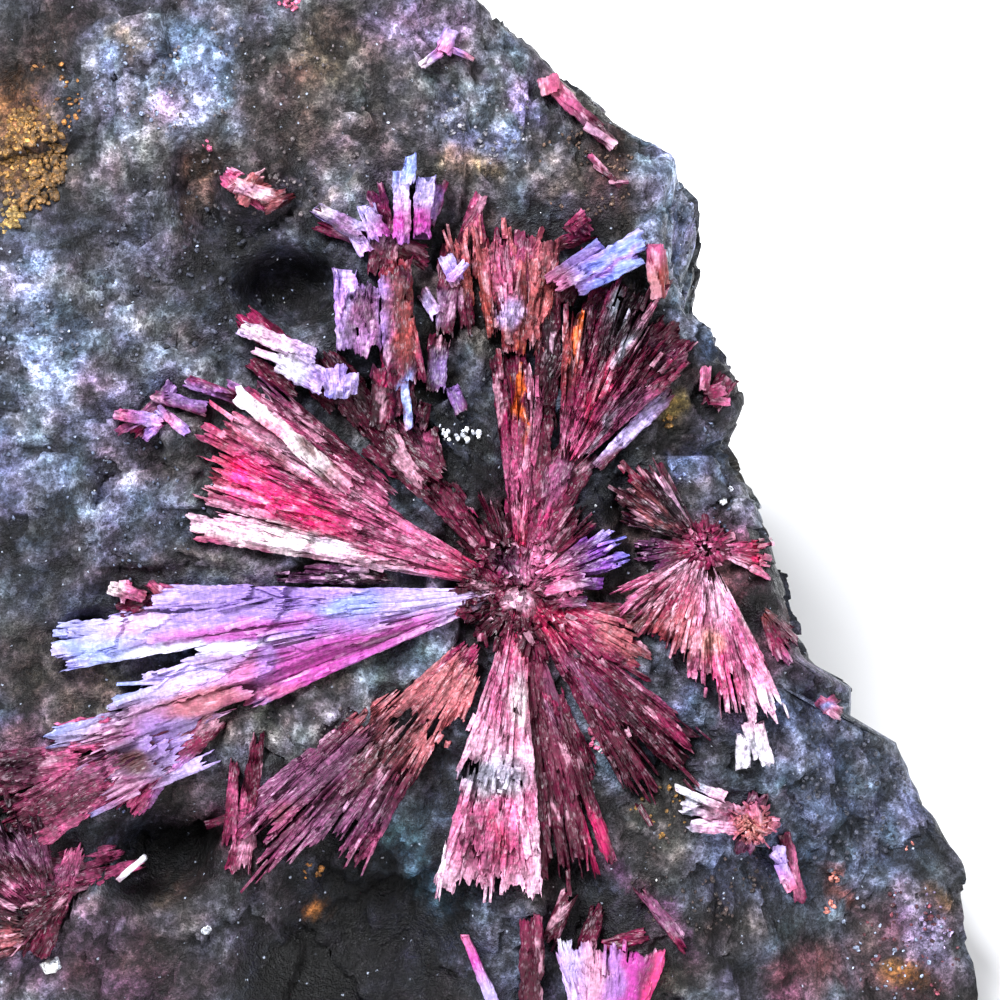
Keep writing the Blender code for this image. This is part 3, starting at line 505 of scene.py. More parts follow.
def grit_group():
    """Grain of broken stone: grains of several sizes as a shade with thin lines of painted glint in it, bright
    flecks that are partly painted glint, dark flecks, and their height.
    """
    group = bpy.data.node_groups.new("stone_grit", "ShaderNodeTree")
    group.interface.new_socket("Position", in_out="INPUT", socket_type="NodeSocketVector")
    group.interface.new_socket("Coarseness", in_out="INPUT", socket_type="NodeSocketFloat").default_value = 1.0
    for name in ("Shade", "Bright Fleck Glint", "Dark Fleck", "Height"):
        group.interface.new_socket(name, in_out="OUTPUT", socket_type="NodeSocketFloat")
    start, end = group.nodes.new("NodeGroupInput"), group.nodes.new("NodeGroupOutput")
    wide = new_node(group, "ShaderNodeTexNoise", Scale=1.15, Detail=1.0, Roughness=0.62)
    middle = new_node(group, "ShaderNodeTexNoise", Scale=2.4, Detail=4.0, Roughness=0.72)
    fine = new_node(group, "ShaderNodeTexNoise", Scale=9.0, Detail=1.0, Roughness=0.6)
    grain = new_node(group, "ShaderNodeTexVoronoi", Scale=4.2, Randomness=1.0)
    specks = new_node(group, "ShaderNodeTexVoronoi", Scale=2.3, Randomness=1.0)
    scaled = new_node(group, "ShaderNodeVectorMath", operation="SCALE")
    group.links.new(start.outputs["Position"], scaled.inputs[0])
    group.links.new(start.outputs["Coarseness"], scaled.inputs["Scale"])
    for texture in (wide, middle, fine, specks):
        group.links.new(scaled.outputs[0], texture.inputs["Vector"])
    pushed = new_node(group, "ShaderNodeVectorMath", operation="SCALE", Scale=0.55)
    warped = new_node(group, "ShaderNodeVectorMath", operation="ADD")
    group.links.new(middle.outputs["Color"], pushed.inputs[0])
    group.links.new(scaled.outputs[0], warped.inputs[0])
    group.links.new(pushed.outputs[0], warped.inputs[1])
    group.links.new(warped.outputs[0], grain.inputs["Vector"])
    cells, chosen = new_node(group, "ShaderNodeSeparateColor"), new_node(group, "ShaderNodeSeparateColor")
    group.links.new(grain.outputs["Color"], cells.inputs["Color"])
    group.links.new(specks.outputs["Color"], chosen.inputs["Color"])
    shade = calculate(group, "MULTIPLY", ramp_between(group, wide.outputs["Fac"], 0.44, 0.60, 0.66, 1.34),
                      ramp_between(group, middle.outputs["Fac"], 0.42, 0.60, 0.62, 1.48))
    shade = calculate(group, "MULTIPLY", shade,
                      ramp_between(group, fine.outputs["Fac"], 0.38, 0.62, 0.76, 1.26))
    shade = calculate(group, "MULTIPLY", shade, ramp_between(group, cells.outputs["Red"], 0.0, 1.0, 0.66, 1.36))
    vein = calculate(group, "ABSOLUTE", calculate(group, "SUBTRACT", middle.outputs["Fac"], 0.48))
    shade = calculate(group, "MULTIPLY", shade, ramp_between(group, vein, 0.0, 0.018, 0.34, 1.0))
    # Thin bright lines where the fine noise crosses one level: painted glints.
    glint = calculate(group, "ABSOLUTE", calculate(group, "SUBTRACT", fine.outputs["Fac"], 0.55))
    shade = calculate(group, "MULTIPLY", shade, ramp_between(group, glint, 0.0, 0.012, 1.45, 1.0))
    bright = calculate(group, "MULTIPLY", ramp_between(group, specks.outputs["Distance"], 0.20, 0.10),
                       ramp_between(group, chosen.outputs["Red"], 0.80, 0.86))
    bright = calculate(group, "MULTIPLY", bright, ramp_between(group, fine.outputs["Fac"], 0.48, 0.54))
    dark = calculate(group, "MULTIPLY", ramp_between(group, grain.outputs["Distance"], 0.42, 0.30),
                     ramp_between(group, cells.outputs["Green"], 0.72, 0.78))
    height = calculate(group, "ADD", middle.outputs["Fac"],
                       calculate(group, "MULTIPLY", fine.outputs["Fac"], 0.35))
    for name, value in (("Shade", shade), ("Bright Fleck Glint", bright), ("Dark Fleck", dark), ("Height", height)):
        group.links.new(value, end.inputs[name])
    return group


GRIT_GROUP = grit_group()


def stone_material(name, coarseness, roughness, bump, fleck_glint_colour, gloss):
    """Broken stone in the piece's own tint: the grit group shades it, flecks it dark and bright, the bright flecks
    glossier and tinted toward a bluish painted glint, and gives it its height.
    """
    material = bpy.data.materials.new(name)
    material.use_nodes = True
    tree = material.node_tree
    shader = tree.nodes["Principled BSDF"]
    shader.inputs["Specular IOR Level"].default_value = gloss
    place = new_node(tree, "ShaderNodeTexCoord")
    in_mm = new_node(tree, "ShaderNodeMapping")
    in_mm.inputs["Scale"].default_value = (1000, 1000, 1000)
    tint = new_node(tree, "ShaderNodeAttribute", attribute_name="tint")
    grit = new_node(tree, "ShaderNodeGroup", node_tree=GRIT_GROUP)
    grit.inputs["Coarseness"].default_value = coarseness
    tree.links.new(place.outputs["Object"], in_mm.inputs["Vector"])
    tree.links.new(in_mm.outputs["Vector"], grit.inputs["Position"])
    shade = new_node(tree, "ShaderNodeCombineColor")
    for channel in ("Red", "Green", "Blue"):
        tree.links.new(grit.outputs["Shade"], shade.inputs[channel])
    colour = mix_colour(tree, "MULTIPLY", 1.0, tint.outputs["Color"], shade.outputs["Color"])
    colour = mix_colour(tree, "MIX", calculate(tree, "MULTIPLY", grit.outputs["Dark Fleck"], 0.6), colour,
                        tuple(STONE["black"]))
    # Bright flecks: real specks, glossier, their tint a bluish painted glint.
    colour = mix_colour(tree, "MIX", calculate(tree, "MULTIPLY", grit.outputs["Bright Fleck Glint"], 0.75), colour,
                        fleck_glint_colour)
    tree.links.new(colour, shader.inputs["Base Color"])
    rough = ramp_between(tree, grit.outputs["Shade"], 0.4, 1.6, roughness + 0.14, roughness - 0.14)
    rough = calculate(tree, "SUBTRACT", rough, calculate(tree, "MULTIPLY", grit.outputs["Bright Fleck Glint"], 0.3))
    tree.links.new(rough, shader.inputs["Roughness"])
    relief = new_node(tree, "ShaderNodeBump", Strength=0.9, Distance=bump * MM)
    tree.links.new(grit.outputs["Height"], relief.inputs["Height"])
    tree.links.new(relief.outputs["Normal"], shader.inputs["Normal"])
    return material


rock_points, rock_faces, rock_grit = rock_sheets()
rock = put_mesh("matrix_rock_skin", rock_points, rock_faces, stone_colour(to_face(rock_points), rock_grit),
                smooth=True)
rock.data.materials.append(stone_material("matrix_stone", 1.0, 0.44, 0.26, (0.50, 0.56, 0.70), 0.22))
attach(rock, "root")
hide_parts("matrix_rock")

# The crystals: erythrite grows as flat laths of fine fibres, which cleave into thin plates and break
# across in steps. Each lath is one closed sheet of fine columns: plates and splinters, cells drawn out
# along it, stand at their own heights and leans, and its ends and sides break off raggedly.
ROOTED = 1.1
COLUMN = 0.080
STATION = 0.20
FOLLOW = 0.45
# Plates, splinters and fibres of a lath: width, times longer than wide, share of height, of tone.
PLATES = [(0.85, 3.0, 0.9, 0.7), (0.30, 2.4, 0.45, 0.6), (0.24, 0.42, 0.30, 0.55)]
PLATE_LEAN = 0.30
SIDE_JAG = 0.11
# Erythrite colours: sky and periwinkle stand for a blue sky's reflection in the crystals, painted in; lilac and
# pale_lilac are the crystals' own purple with painted sky reflection in it.
ERYTHRITE = {
    "ink": srgb(22, 8, 18), "maroon": srgb(62, 14, 32), "wine": srgb(80, 18, 42), "crimson": srgb(118, 28, 66),
    "ruby": srgb(168, 32, 76), "raspberry": srgb(212, 38, 108), "hot_pink": srgb(246, 60, 140),
    "rose": srgb(160, 72, 112), "pink": srgb(196, 108, 148), "blush": srgb(214, 166, 190),
    "cream": srgb(226, 208, 214), "white": srgb(226, 226, 238), "lilac": srgb(146, 116, 186),
    "pale_lilac": srgb(182, 166, 218), "sky": srgb(136, 154, 216), "periwinkle": srgb(112, 120, 200),
    "magenta": srgb(172, 58, 146), "violet": srgb(122, 68, 158), "plum": srgb(76, 32, 70),
    "mauve": srgb(128, 76, 112), "salmon": srgb(168, 92, 100), "peach": srgb(210, 146, 134),
    "rust": srgb(124, 52, 48), "amber": srgb(224, 106, 40), "gold": srgb(190, 146, 80),
    "umber": srgb(84, 46, 46), "steel": srgb(142, 150, 166), "coal": srgb(20, 17, 24),
}


def fan_laths(rng, hub, rows):
    """Laths between two angles round a hub, in rows of from, to, near, far, laths, lifts, thickness,
    raggedness: each lath is a wedge that ends at its own reach, swings off its line and leans a little."""
    made = []
    for start, end, near, far, count, lift_root, lift_tip, thickness, ragged in rows:
        edges = np.linspace(start, end, count + 1)
        edges[1:-1] += rng.uniform(-0.28, 0.28, count - 1) * (end - start) / count
        edges = np.radians(edges)
        swing, half = (edges[1:] + edges[:-1]) / 2, (edges[1:] - edges[:-1]) / 2
        reach_near = near * (1 + 0.15 * rng.uniform(0, 1, count))
        reach_far = far - ragged * 0.7 * rng.uniform(0, 1, count)
        off = rng.normal(0, 0.012, (2, count))
        root, tip = (
            np.array(hub) + np.stack([np.cos(swing + turn), np.sin(swing + turn)], axis=1) * reach[:, None]
            for reach, turn in ((reach_near, off[0]), (reach_far, off[1])))
        widths = np.stack([2 * reach * np.tan(half) for reach in (reach_near, reach_far)], axis=1) * 1.30 + 0.14
        lifts = np.stack([lift_root + 0.06 * rng.uniform(-1, 1, count),
                          lift_tip + 0.12 * rng.uniform(-1, 1, count)], axis=1)
        made.append((root, tip, widths, lifts, np.full(count, thickness), np.full(count, ragged),
                     rng.normal(0, 0.10, count)))
    return [np.concatenate(column) for column in zip(*made)]


def single_laths(rng, rows):
    """Laths given one by one, in rows of root u, v, tip u, v, widths, lifts, thickness, raggedness."""
    table = np.array(rows, float)
    return [table[:, 0:2], table[:, 2:4], table[:, 4:6], table[:, 6:8], table[:, 8], table[:, 9],
            rng.normal(0, 0.12, len(table))]


def splinters(rng, laths, count):
    """Short thin laths that have come away from the tops of given ones, a little off their line."""
    root, tip, widths, lifts, _, _, lean = laths
    size = np.hypot(*(tip - root).T) * widths.mean(axis=1)
    chosen = rng.choice(len(root), count, p=size / size.sum())
    start, run = root[chosen], (tip - root)[chosen]
    length = np.hypot(*run.T)
    ahead = run / length[:, None]
    side = np.stack([-ahead[:, 1], ahead[:, 0]], axis=1)
    part = rng.uniform(0.08, 0.95, count)
    long = np.minimum(rng.uniform(0.8, 3.6, count), length * (1.04 - part))
    width = widths[chosen, 0] + (widths[chosen, 1] - widths[chosen, 0]) * part
    width = width * rng.uniform(-0.45, 0.45, count)
    at = start + run * part[:, None] + side * width[:, None]
    turn = rng.normal(0, 0.09, count)[:, None]
    lift = lifts[chosen, 0] + (lifts[chosen, 1] - lifts[chosen, 0]) * part + lean[chosen] * width
    rise = np.stack([lift, lift + rng.uniform(0.05, 0.35, count)], axis=1)
    wide = rng.uniform(0.12, 0.42, (count, 1)) * np.array([1.0, 0.7])
    return [at, at + (ahead + side * turn) * long[:, None], wide, rise, np.full(count, 0.3),
            np.full(count, 0.35), rng.normal(0, 0.3, count)]


def together(*groups):
    """Several sets of laths as one."""
    return [np.concatenate(column) for column in zip(*groups)]


def lath_sheet(rng, lath, step, spread, gleam):
    """One lath as rings of points: its columns across the top, and two points below the rock at its sides.

    Height is the lath's line from root to tip, part way to the rock's own height, plus its lean and the
    height and lean of the plate, splinter and fibre that a point is on (step, mm). Returns the rings
    (ring, side, 3), distances along and across, tone (0 is as given) and share of pale painted highlight."""
    root, tip, widths, lifts, thick, ragged, lean = lath
    run = tip - root
    length = np.hypot(*run)
    ahead = run / length
    side = np.array([-ahead[1], ahead[0]])
    columns = max(5, int(round(widths.max() / COLUMN)))
    stations = max(6, int(round(length / STATION)))
    own = rng.uniform(0, 90)
    across = np.linspace(-1, 1, columns)
    across[1:-1] += rng.uniform(-0.3, 0.3, columns - 2) * 2 / columns

    across_mm = across * widths.max() / 2
    flat = np.stack([across_mm, np.full(columns, own), np.zeros(columns)], axis=1)
    cut = 0.62 * chips(flat, 0.50, 403, True)[1] + 0.26 * chips(flat, 0.17, 404, True)[1]
    cut = cut + 0.12 * rng.uniform(0, 1, columns)
    rear = 0.7 * chips(flat, 0.45, 405, True)[1] + 0.3 * rng.uniform(0, 1, columns)
    first, last = rear * min(0.8 * ragged, length * 0.25), length - cut * min(ragged, length * 0.45)
    far = first + (last - first) * np.linspace(0, 1, stations)[:, None]
    width = widths[0] + (widths[1] - widths[0]) * far / length
    spine = np.stack([far[:, 0], np.full(stations, own + 7), np.zeros(stations)], axis=1)
    jag = [SIDE_JAG * (chips(spine, 0.55, 406 + k, True)[1] + 0.5 * chips(spine, 0.2, 408 + k, True)[1])
           for k in (0, 1)]
    nibble = np.where(across < 0, jag[0][:, None], jag[1][:, None])
    nibble = nibble * np.abs(across) ** 3 * np.minimum(width, 1.6)
    bend = rng.normal(0, 0.012) * length * (far / length) ** 2
    place_across = across * width / 2 - np.sign(across) * nibble + bend
    place = root + far[..., None] * ahead + place_across[..., None] * side

    level, tone, lots = np.zeros(far.shape), np.full(far.shape, rng.normal(0, spread * 0.6)), []
    for seed, (size, longer, rise, share) in enumerate(PLATES, start=411):
        swerve = place_across + 0.12 * np.sin(far * 1.7 + own)
        cells = np.stack([far / longer, swerve, np.full(far.shape, own)], axis=-1)
        lean_part, lot = (value.reshape(far.shape) for value in chips(cells.reshape(-1, 3), size, seed, True))
        level += step * rise * ((lot - 0.5) * 3.0 + lean_part * size * PLATE_LEAN / 0.06)
        tone += spread * share * (lot - 0.5) * 3.2
        lots.append(lot)
    # Plates and splinters picked by lot turn pale: gloss here is a painted highlight, not a finish.
    gloss = np.where(lots[0] * 7.13 % 1 < gleam * 0.7, 0.45, 0.0)
    gloss = gloss + np.where(lots[1] * 5.71 % 1 < gleam * 0.8, 0.55, 0.0)
    pale = gloss * (0.55 + 0.6 * lots[2])

    rock = face_height(place[..., 0].ravel(), place[..., 1].ravel()).reshape(far.shape)
    ends = face_height(*np.stack([root, tip], axis=1))
    line = ends[0] + (ends[1] - ends[0]) * far / length
    lift = lifts[0] + (lifts[1] - lifts[0]) * far / length
    top = line + (rock - line) * FOLLOW + lift + lean * place_across + level
    top = top - 0.12 * np.abs(across) ** 6 * np.minimum(width, 1.0)
    slope = np.clip(1 - (last - far) / (0.45 * ragged + 0.12), 0, 1)
    top = top - slope * (lots[1][-1] - 0.15) * min(0.7, ragged + 0.2)

    floor = (line + lift).min(axis=1) - thick - ROOTED
    tops = np.concatenate([place, top[..., None]], axis=-1)
    below = np.stack([tops[:, -1], tops[:, 0]], axis=1)
    below[..., 2] = floor[:, None]
    rings = np.concatenate([tops, below], axis=1)
    caps = rings[[0, -1]].copy()
    caps[:, :, 2] = floor[[0, -1], None] + 0.03
    caps[:, -2:, 2] -= 0.06
    rings = np.concatenate([caps[:1], rings, caps[1:]])

    def ringed(value):
        value = np.concatenate([value, value[:, -1:], value[:, :1]], axis=1)
        return np.concatenate([value[:1], value, value[-1:]])

    return rings, np.stack([ringed(far), ringed(place_across + own)], axis=-1), ringed(tone), ringed(pale)


def ring_faces(rings, sides, first):
    """Faces of one closed tube of points, ring after ring, with a cap at each end."""
    at = np.arange(rings - 1)[:, None] * sides
    here, beside = np.arange(sides)[None, :], (np.arange(sides)[None, :] + 1) % sides
    quads = np.stack([at + beside, at + here, at + sides + here, at + sides + beside], axis=-1).reshape(-1, 4)
    front = np.arange(sides)[None, :]
    return [quads + first, front + first, front[:, ::-1] + (rings - 1) * sides + first]


def fibre_group():
    """Fibres of a blade: streaks along it as a shade, pale cleavage patches that are partly painted glint, fine
    cross cracks, and their height.
    """
    group = bpy.data.node_groups.new("blade_fibres", "ShaderNodeTree")
    group.interface.new_socket("Fibre", in_out="INPUT", socket_type="NodeSocketVector")
    for name in ("Shade", "Flake Glint", "Height"):
        group.interface.new_socket(name, in_out="OUTPUT", socket_type="NodeSocketFloat")
    start, end = group.nodes.new("NodeGroupInput"), group.nodes.new("NodeGroupOutput")

    def stretched(along, across, scale, detail):
        mapping = new_node(group, "ShaderNodeMapping")
        mapping.inputs["Scale"].default_value = (along, across, 1.0)
        noise = new_node(group, "ShaderNodeTexNoise", Scale=scale, Detail=detail, Roughness=0.6)
        group.links.new(start.outputs["Fibre"], mapping.inputs["Vector"])
        group.links.new(mapping.outputs["Vector"], noise.inputs["Vector"])
        return noise.outputs["Fac"]

    streak, fine = stretched(1.1, 4.5, 1.0, 3.0), stretched(3.0, 13.0, 1.0, 1.0)
    patch, crack = stretched(1.6, 2.6, 1.0, 3.0), stretched(5.0, 3.0, 1.0, 3.0)
    shade = calculate(group, "MULTIPLY", ramp_between(group, streak, 0.36, 0.64, 0.68, 1.32),
                      ramp_between(group, fine, 0.36, 0.64, 0.78, 1.22))
    shade = calculate(group, "MULTIPLY", shade, ramp_between(group, crack, 0.42, 0.58, 0.66, 1.32))
    # Pale cleavage patches: partly real, partly painted glint.
    flake_glint = calculate(group, "MULTIPLY", ramp_between(group, patch, 0.53, 0.61),
                      ramp_between(group, fine, 0.44, 0.56))
    height = calculate(group, "ADD", streak, calculate(group, "MULTIPLY", fine, 0.6))
    for name, value in (("Shade", shade), ("Flake Glint", flake_glint), ("Height", height)):
        group.links.new(value, end.inputs[name])
    return group


FIBRE_GROUP = fibre_group()


def blade_material(name, roughness=0.34, flake_glints=0.30, bump=0.05, flake_glint_colour=(0.70, 0.56, 0.66), coat=0.04,
                   gloss=0.26, contrast=0.85):
    """Glassy to pearly blade in the piece's own tint, streaked along its fibres, with pale cleavage patches, partly
    real and partly painted glint.
    """
    material = bpy.data.materials.new(name)
    material.use_nodes = True
    tree = material.node_tree
    shader = tree.nodes["Principled BSDF"]
    shader.inputs["Specular IOR Level"].default_value = gloss
    shader.inputs["Coat Weight"].default_value = coat
    shader.inputs["Coat Roughness"].default_value = 0.18
    fibre = new_node(tree, "ShaderNodeUVMap", uv_map="fibre")
    tint = new_node(tree, "ShaderNodeAttribute", attribute_name="tint")
    grain = new_node(tree, "ShaderNodeGroup", node_tree=FIBRE_GROUP)
    tree.links.new(fibre.outputs["UV"], grain.inputs["Fibre"])
    streaks = ramp_between(tree, grain.outputs["Shade"], 0.0, 2.0, 1 - contrast, 1 + contrast)
    shade = new_node(tree, "ShaderNodeCombineColor")
    for channel in ("Red", "Green", "Blue"):
        tree.links.new(streaks, shade.inputs[channel])
    colour = mix_colour(tree, "MULTIPLY", 1.0, tint.outputs["Color"], shade.outputs["Color"])
    # Pale cleavage patches mixed in: partly real, partly painted glint.
    flake_glint_share = calculate(tree, "MULTIPLY", grain.outputs["Flake Glint"], flake_glints)
    colour = mix_colour(tree, "MIX", flake_glint_share, colour, flake_glint_colour)
    tree.links.new(colour, shader.inputs["Base Color"])
    rough = ramp_between(tree, grain.outputs["Shade"], 0.5, 1.6, roughness + 0.12, roughness - 0.12)
    tree.links.new(rough, shader.inputs["Roughness"])
    relief = new_node(tree, "ShaderNodeBump", Strength=0.8, Distance=bump * MM)
    tree.links.new(grain.outputs["Height"], relief.inputs["Height"])
    tree.links.new(relief.outputs["Normal"], shader.inputs["Normal"])
    return material


BLADE = blade_material("erythrite_blade", flake_glints=0.16)
SATIN = blade_material("erythrite_satin", roughness=0.42, flake_glints=0.10, bump=0.022, gloss=0.30, contrast=0.50)
NEEDLE = blade_material("erythrite_needle", roughness=0.30, flake_glints=0.10, bump=0.03)
BLADE_WANDER = [(1.6, 0.45), (0.6, 0.22)]
# Near-white tint that the painted highlights on picked plates take on.
PAINTED_GLEAM_TINT = np.array([0.80, 0.68, 0.80])
DEPTH = 0.86


def tinted(points, tone, pale, ramp, middle, stains):
    """Colours of a piece's points: a ramp by distance (mm) from a middle and coloured spots over it, some of them
    painted light, times exp(tone), then part of the way (pale) to a near-white tint of themselves, a painted
    highlight."""
    distance = np.hypot(points[:, 0] - middle[0], points[:, 1] - middle[1])
    stops = [stop for stop, _ in ramp]
    table = np.array([ERYTHRITE[name] for _, name in ramp])
    colour = np.stack([np.interp(distance, stops, table[:, k]) for k in range(3)], axis=1)
    colour = spotted(colour, points, stains, ERYTHRITE, BLADE_WANDER, 301)
    light = 0.55 + 0.45 * colour / colour.max(axis=1, keepdims=True)
    colour = colour * np.exp(np.clip(tone, -1.8, 0.9))[:, None]
    colour = colour + (light * PAINTED_GLEAM_TINT - colour) * pale[:, None]
    return np.clip(colour * DEPTH, 0.002, 0.95)


def blade_piece(name, laths, ramp, middle, stains=(), slot="crimson_blades", material=None, step=0.05,
                spread=0.20, gleam=0.10, stands_for=True):
    rng = np.random.default_rng(sum(name.encode()))
    sheets = [lath_sheet(rng, lath, step, spread, gleam) for lath in zip(*laths)]
    starts = np.cumsum([0] + [sheet[0].shape[0] * sheet[0].shape[1] for sheet in sheets])
    faces = [part for sheet, first in zip(sheets, starts) for part in ring_faces(*sheet[0].shape[:2], first)]
    points = np.concatenate([sheet[0].reshape(-1, 3) for sheet in sheets])
    fibre = np.concatenate([sheet[1].reshape(-1, 2) for sheet in sheets])
    tone, pale = (np.concatenate([sheet[k].ravel() for sheet in sheets]) for k in (2, 3))
    colours = tinted(points, tone, pale, ramp, middle, stains)
    piece = put_mesh(f"{name}_blades", to_world(points), faces, colours, fibre)
    piece.data.materials.append(material or BLADE)
    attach(piece, "root")
    if stands_for:
        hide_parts(name)
    return piece


def fan_piece(name, hub, rows, ramp, stains=(), extra=None, loose=0, **looks):
    """A fan of laths round its hub, with any given one by one and loose splinters on them, as one piece."""
    rng = np.random.default_rng(sum(name.encode()) + 1)
    laths = fan_laths(rng, hub, rows)
    if extra:
        laths = together(laths, single_laths(rng, extra))
    if loose:
        laths = together(laths, splinters(rng, laths, loose))
    return blade_piece(name, laths, ramp, hub, stains, **looks)


def group_piece(name, rows, ramp, middle, stains=(), **looks):
    """A few crystals given one by one, as one piece."""
    rng = np.random.default_rng(sum(name.encode()) + 1)
    return blade_piece(name, single_laths(rng, rows), ramp, middle, stains, **looks)


# The main spray: fans of blades that leave one point, MAIN, and lie over the face all round it.
# Upper left: pink and near-white laths, a hot pink flat brightened by a painted glow of light through it, and a
# broad dark blade above them.
MAIN = (1.0, -4.5)
fan_piece("upper_left_fan", MAIN, [
    (149.5, 169.8, 0.9, 16.8, 9, 0.45, 0.9, 0.9, 1.2),
    (149.5, 157.0, 0.9, 19.3, 4, 0.7, 1.6, 0.8, 2.4), (150.5, 156.0, 6.0, 18.0, 3, 1.1, 1.9, 0.5, 4.0),
    (157.0, 164.5, 0.9, 17.7, 4, 0.8, 1.5, 0.9, 1.6), (158.0, 163.5, 7.0, 15.5, 3, 1.2, 1.7, 0.5, 3.0),
    (164.5, 169.8, 0.9, 18.0, 3, 0.7, 1.1, 0.8, 1.8), (165.0, 169.5, 5.0, 17.0, 2, 1.0, 1.4, 0.5, 3.0),
    (140.0, 149.6, 6.5, 18.4, 5, 0.5, 2.0, 0.9, 2.6), (141.0, 148.5, 8.0, 16.5, 4, 0.8, 2.2, 0.5, 4.0)],
    ramp=[(2.5, "ruby"), (5.0, "rose"), (8.0, "rose"), (11.0, "crimson"), (15.0, "rose"), (19.0, "ruby")],
    stains=[
        (-12.8, 1.0, 2.6, 0.9, -32, "hot_pink", 0.95), (-9.6, -0.9, 2.6, 0.8, -30, "raspberry", 0.85),
        (-14.3, 1.6, 0.9, 1.5, -30, "salmon", 0.6), (-15.0, 2.8, 0.6, 1.3, -10, "rose", 0.8),
        (-11.0, -2.0, 5.4, 0.65, -13, "cream", 0.95), (-14.2, -0.9, 2.6, 0.6, -18, "blush", 0.8),
        (-7.0, -3.2, 3.0, 0.5, -10, "blush", 0.85), (-8.5, -2.2, 1.2, 0.5, -14, "white", 0.7),
        (-9.5, 1.7, 5.0, 0.4, -33, "blush", 0.75), (-6.0, -0.6, 4.0, 0.4, -32, "pink", 0.6),
        # The umber spot at -12.0, 2.7 is a painted shadow in the gap between the laths.
        (-12.0, 2.7, 3.5, 0.3, -33, "umber", 0.75), (-16.0, 5.0, 1.6, 0.7, -30, "crimson", 0.8),
        (-9.0, 4.2, 7.0, 1.1, -39, "maroon", 0.92), (-6.6, 2.6, 3.0, 1.2, -40, "wine", 0.8),
        (-12.5, 6.4, 2.2, 0.9, -36, "plum", 0.75), (-13.9, 6.0, 1.2, 0.4, -36, "lilac", 0.7)],
    step=0.07, spread=0.24, gleam=0.16, loose=60)

# The near-white prism that has grown over the pink laths, cracked across into segments.
group_piece("upper_left_prism", [
    (-7.2, 0.4, -13.3, 5.6, 0.9, 1.0, 1.9, 2.8, 0.6, 0.8),
    (-8.0, 0.6, -10.6, 2.9, 0.5, 0.5, 1.8, 2.5, 0.4, 0.5)],
    ramp=[(0, "rose"), (2.0, "umber"), (3.0, "cream"), (6.0, "cream"), (8.5, "white")], middle=(-7.0, 0.2),
    stains=[(-9.6, 2.4, 0.7, 0.3, -40, "umber", 0.9), (-11.2, 3.4, 1.0, 0.3, -40, "hot_pink", 0.6),
            (-10.4, 3.6, 2.2, 0.16, -40, "rust", 0.7)],
    slot="pink_blades", step=0.08, spread=0.10, gleam=0.2, stands_for=False)

# Between the two big left fans: a small fan of almost black blades.
fan_piece("dark_small_fan", MAIN, [
    (171.8, 178.2, 5.6, 12.6, 5, 0.3, 0.7, 0.4, 2.4), (172.5, 177.5, 7.0, 12.0, 3, 0.6, 0.9, 0.4, 2.5)],
    ramp=[(5.0, "maroon"), (8.0, "ink"), (11.0, "plum"), (13.0, "ink")],
    stains=[(-9.6, -3.4, 1.1, 0.3, 0, "mauve", 0.5)], step=0.08, gleam=0.08, loose=8)
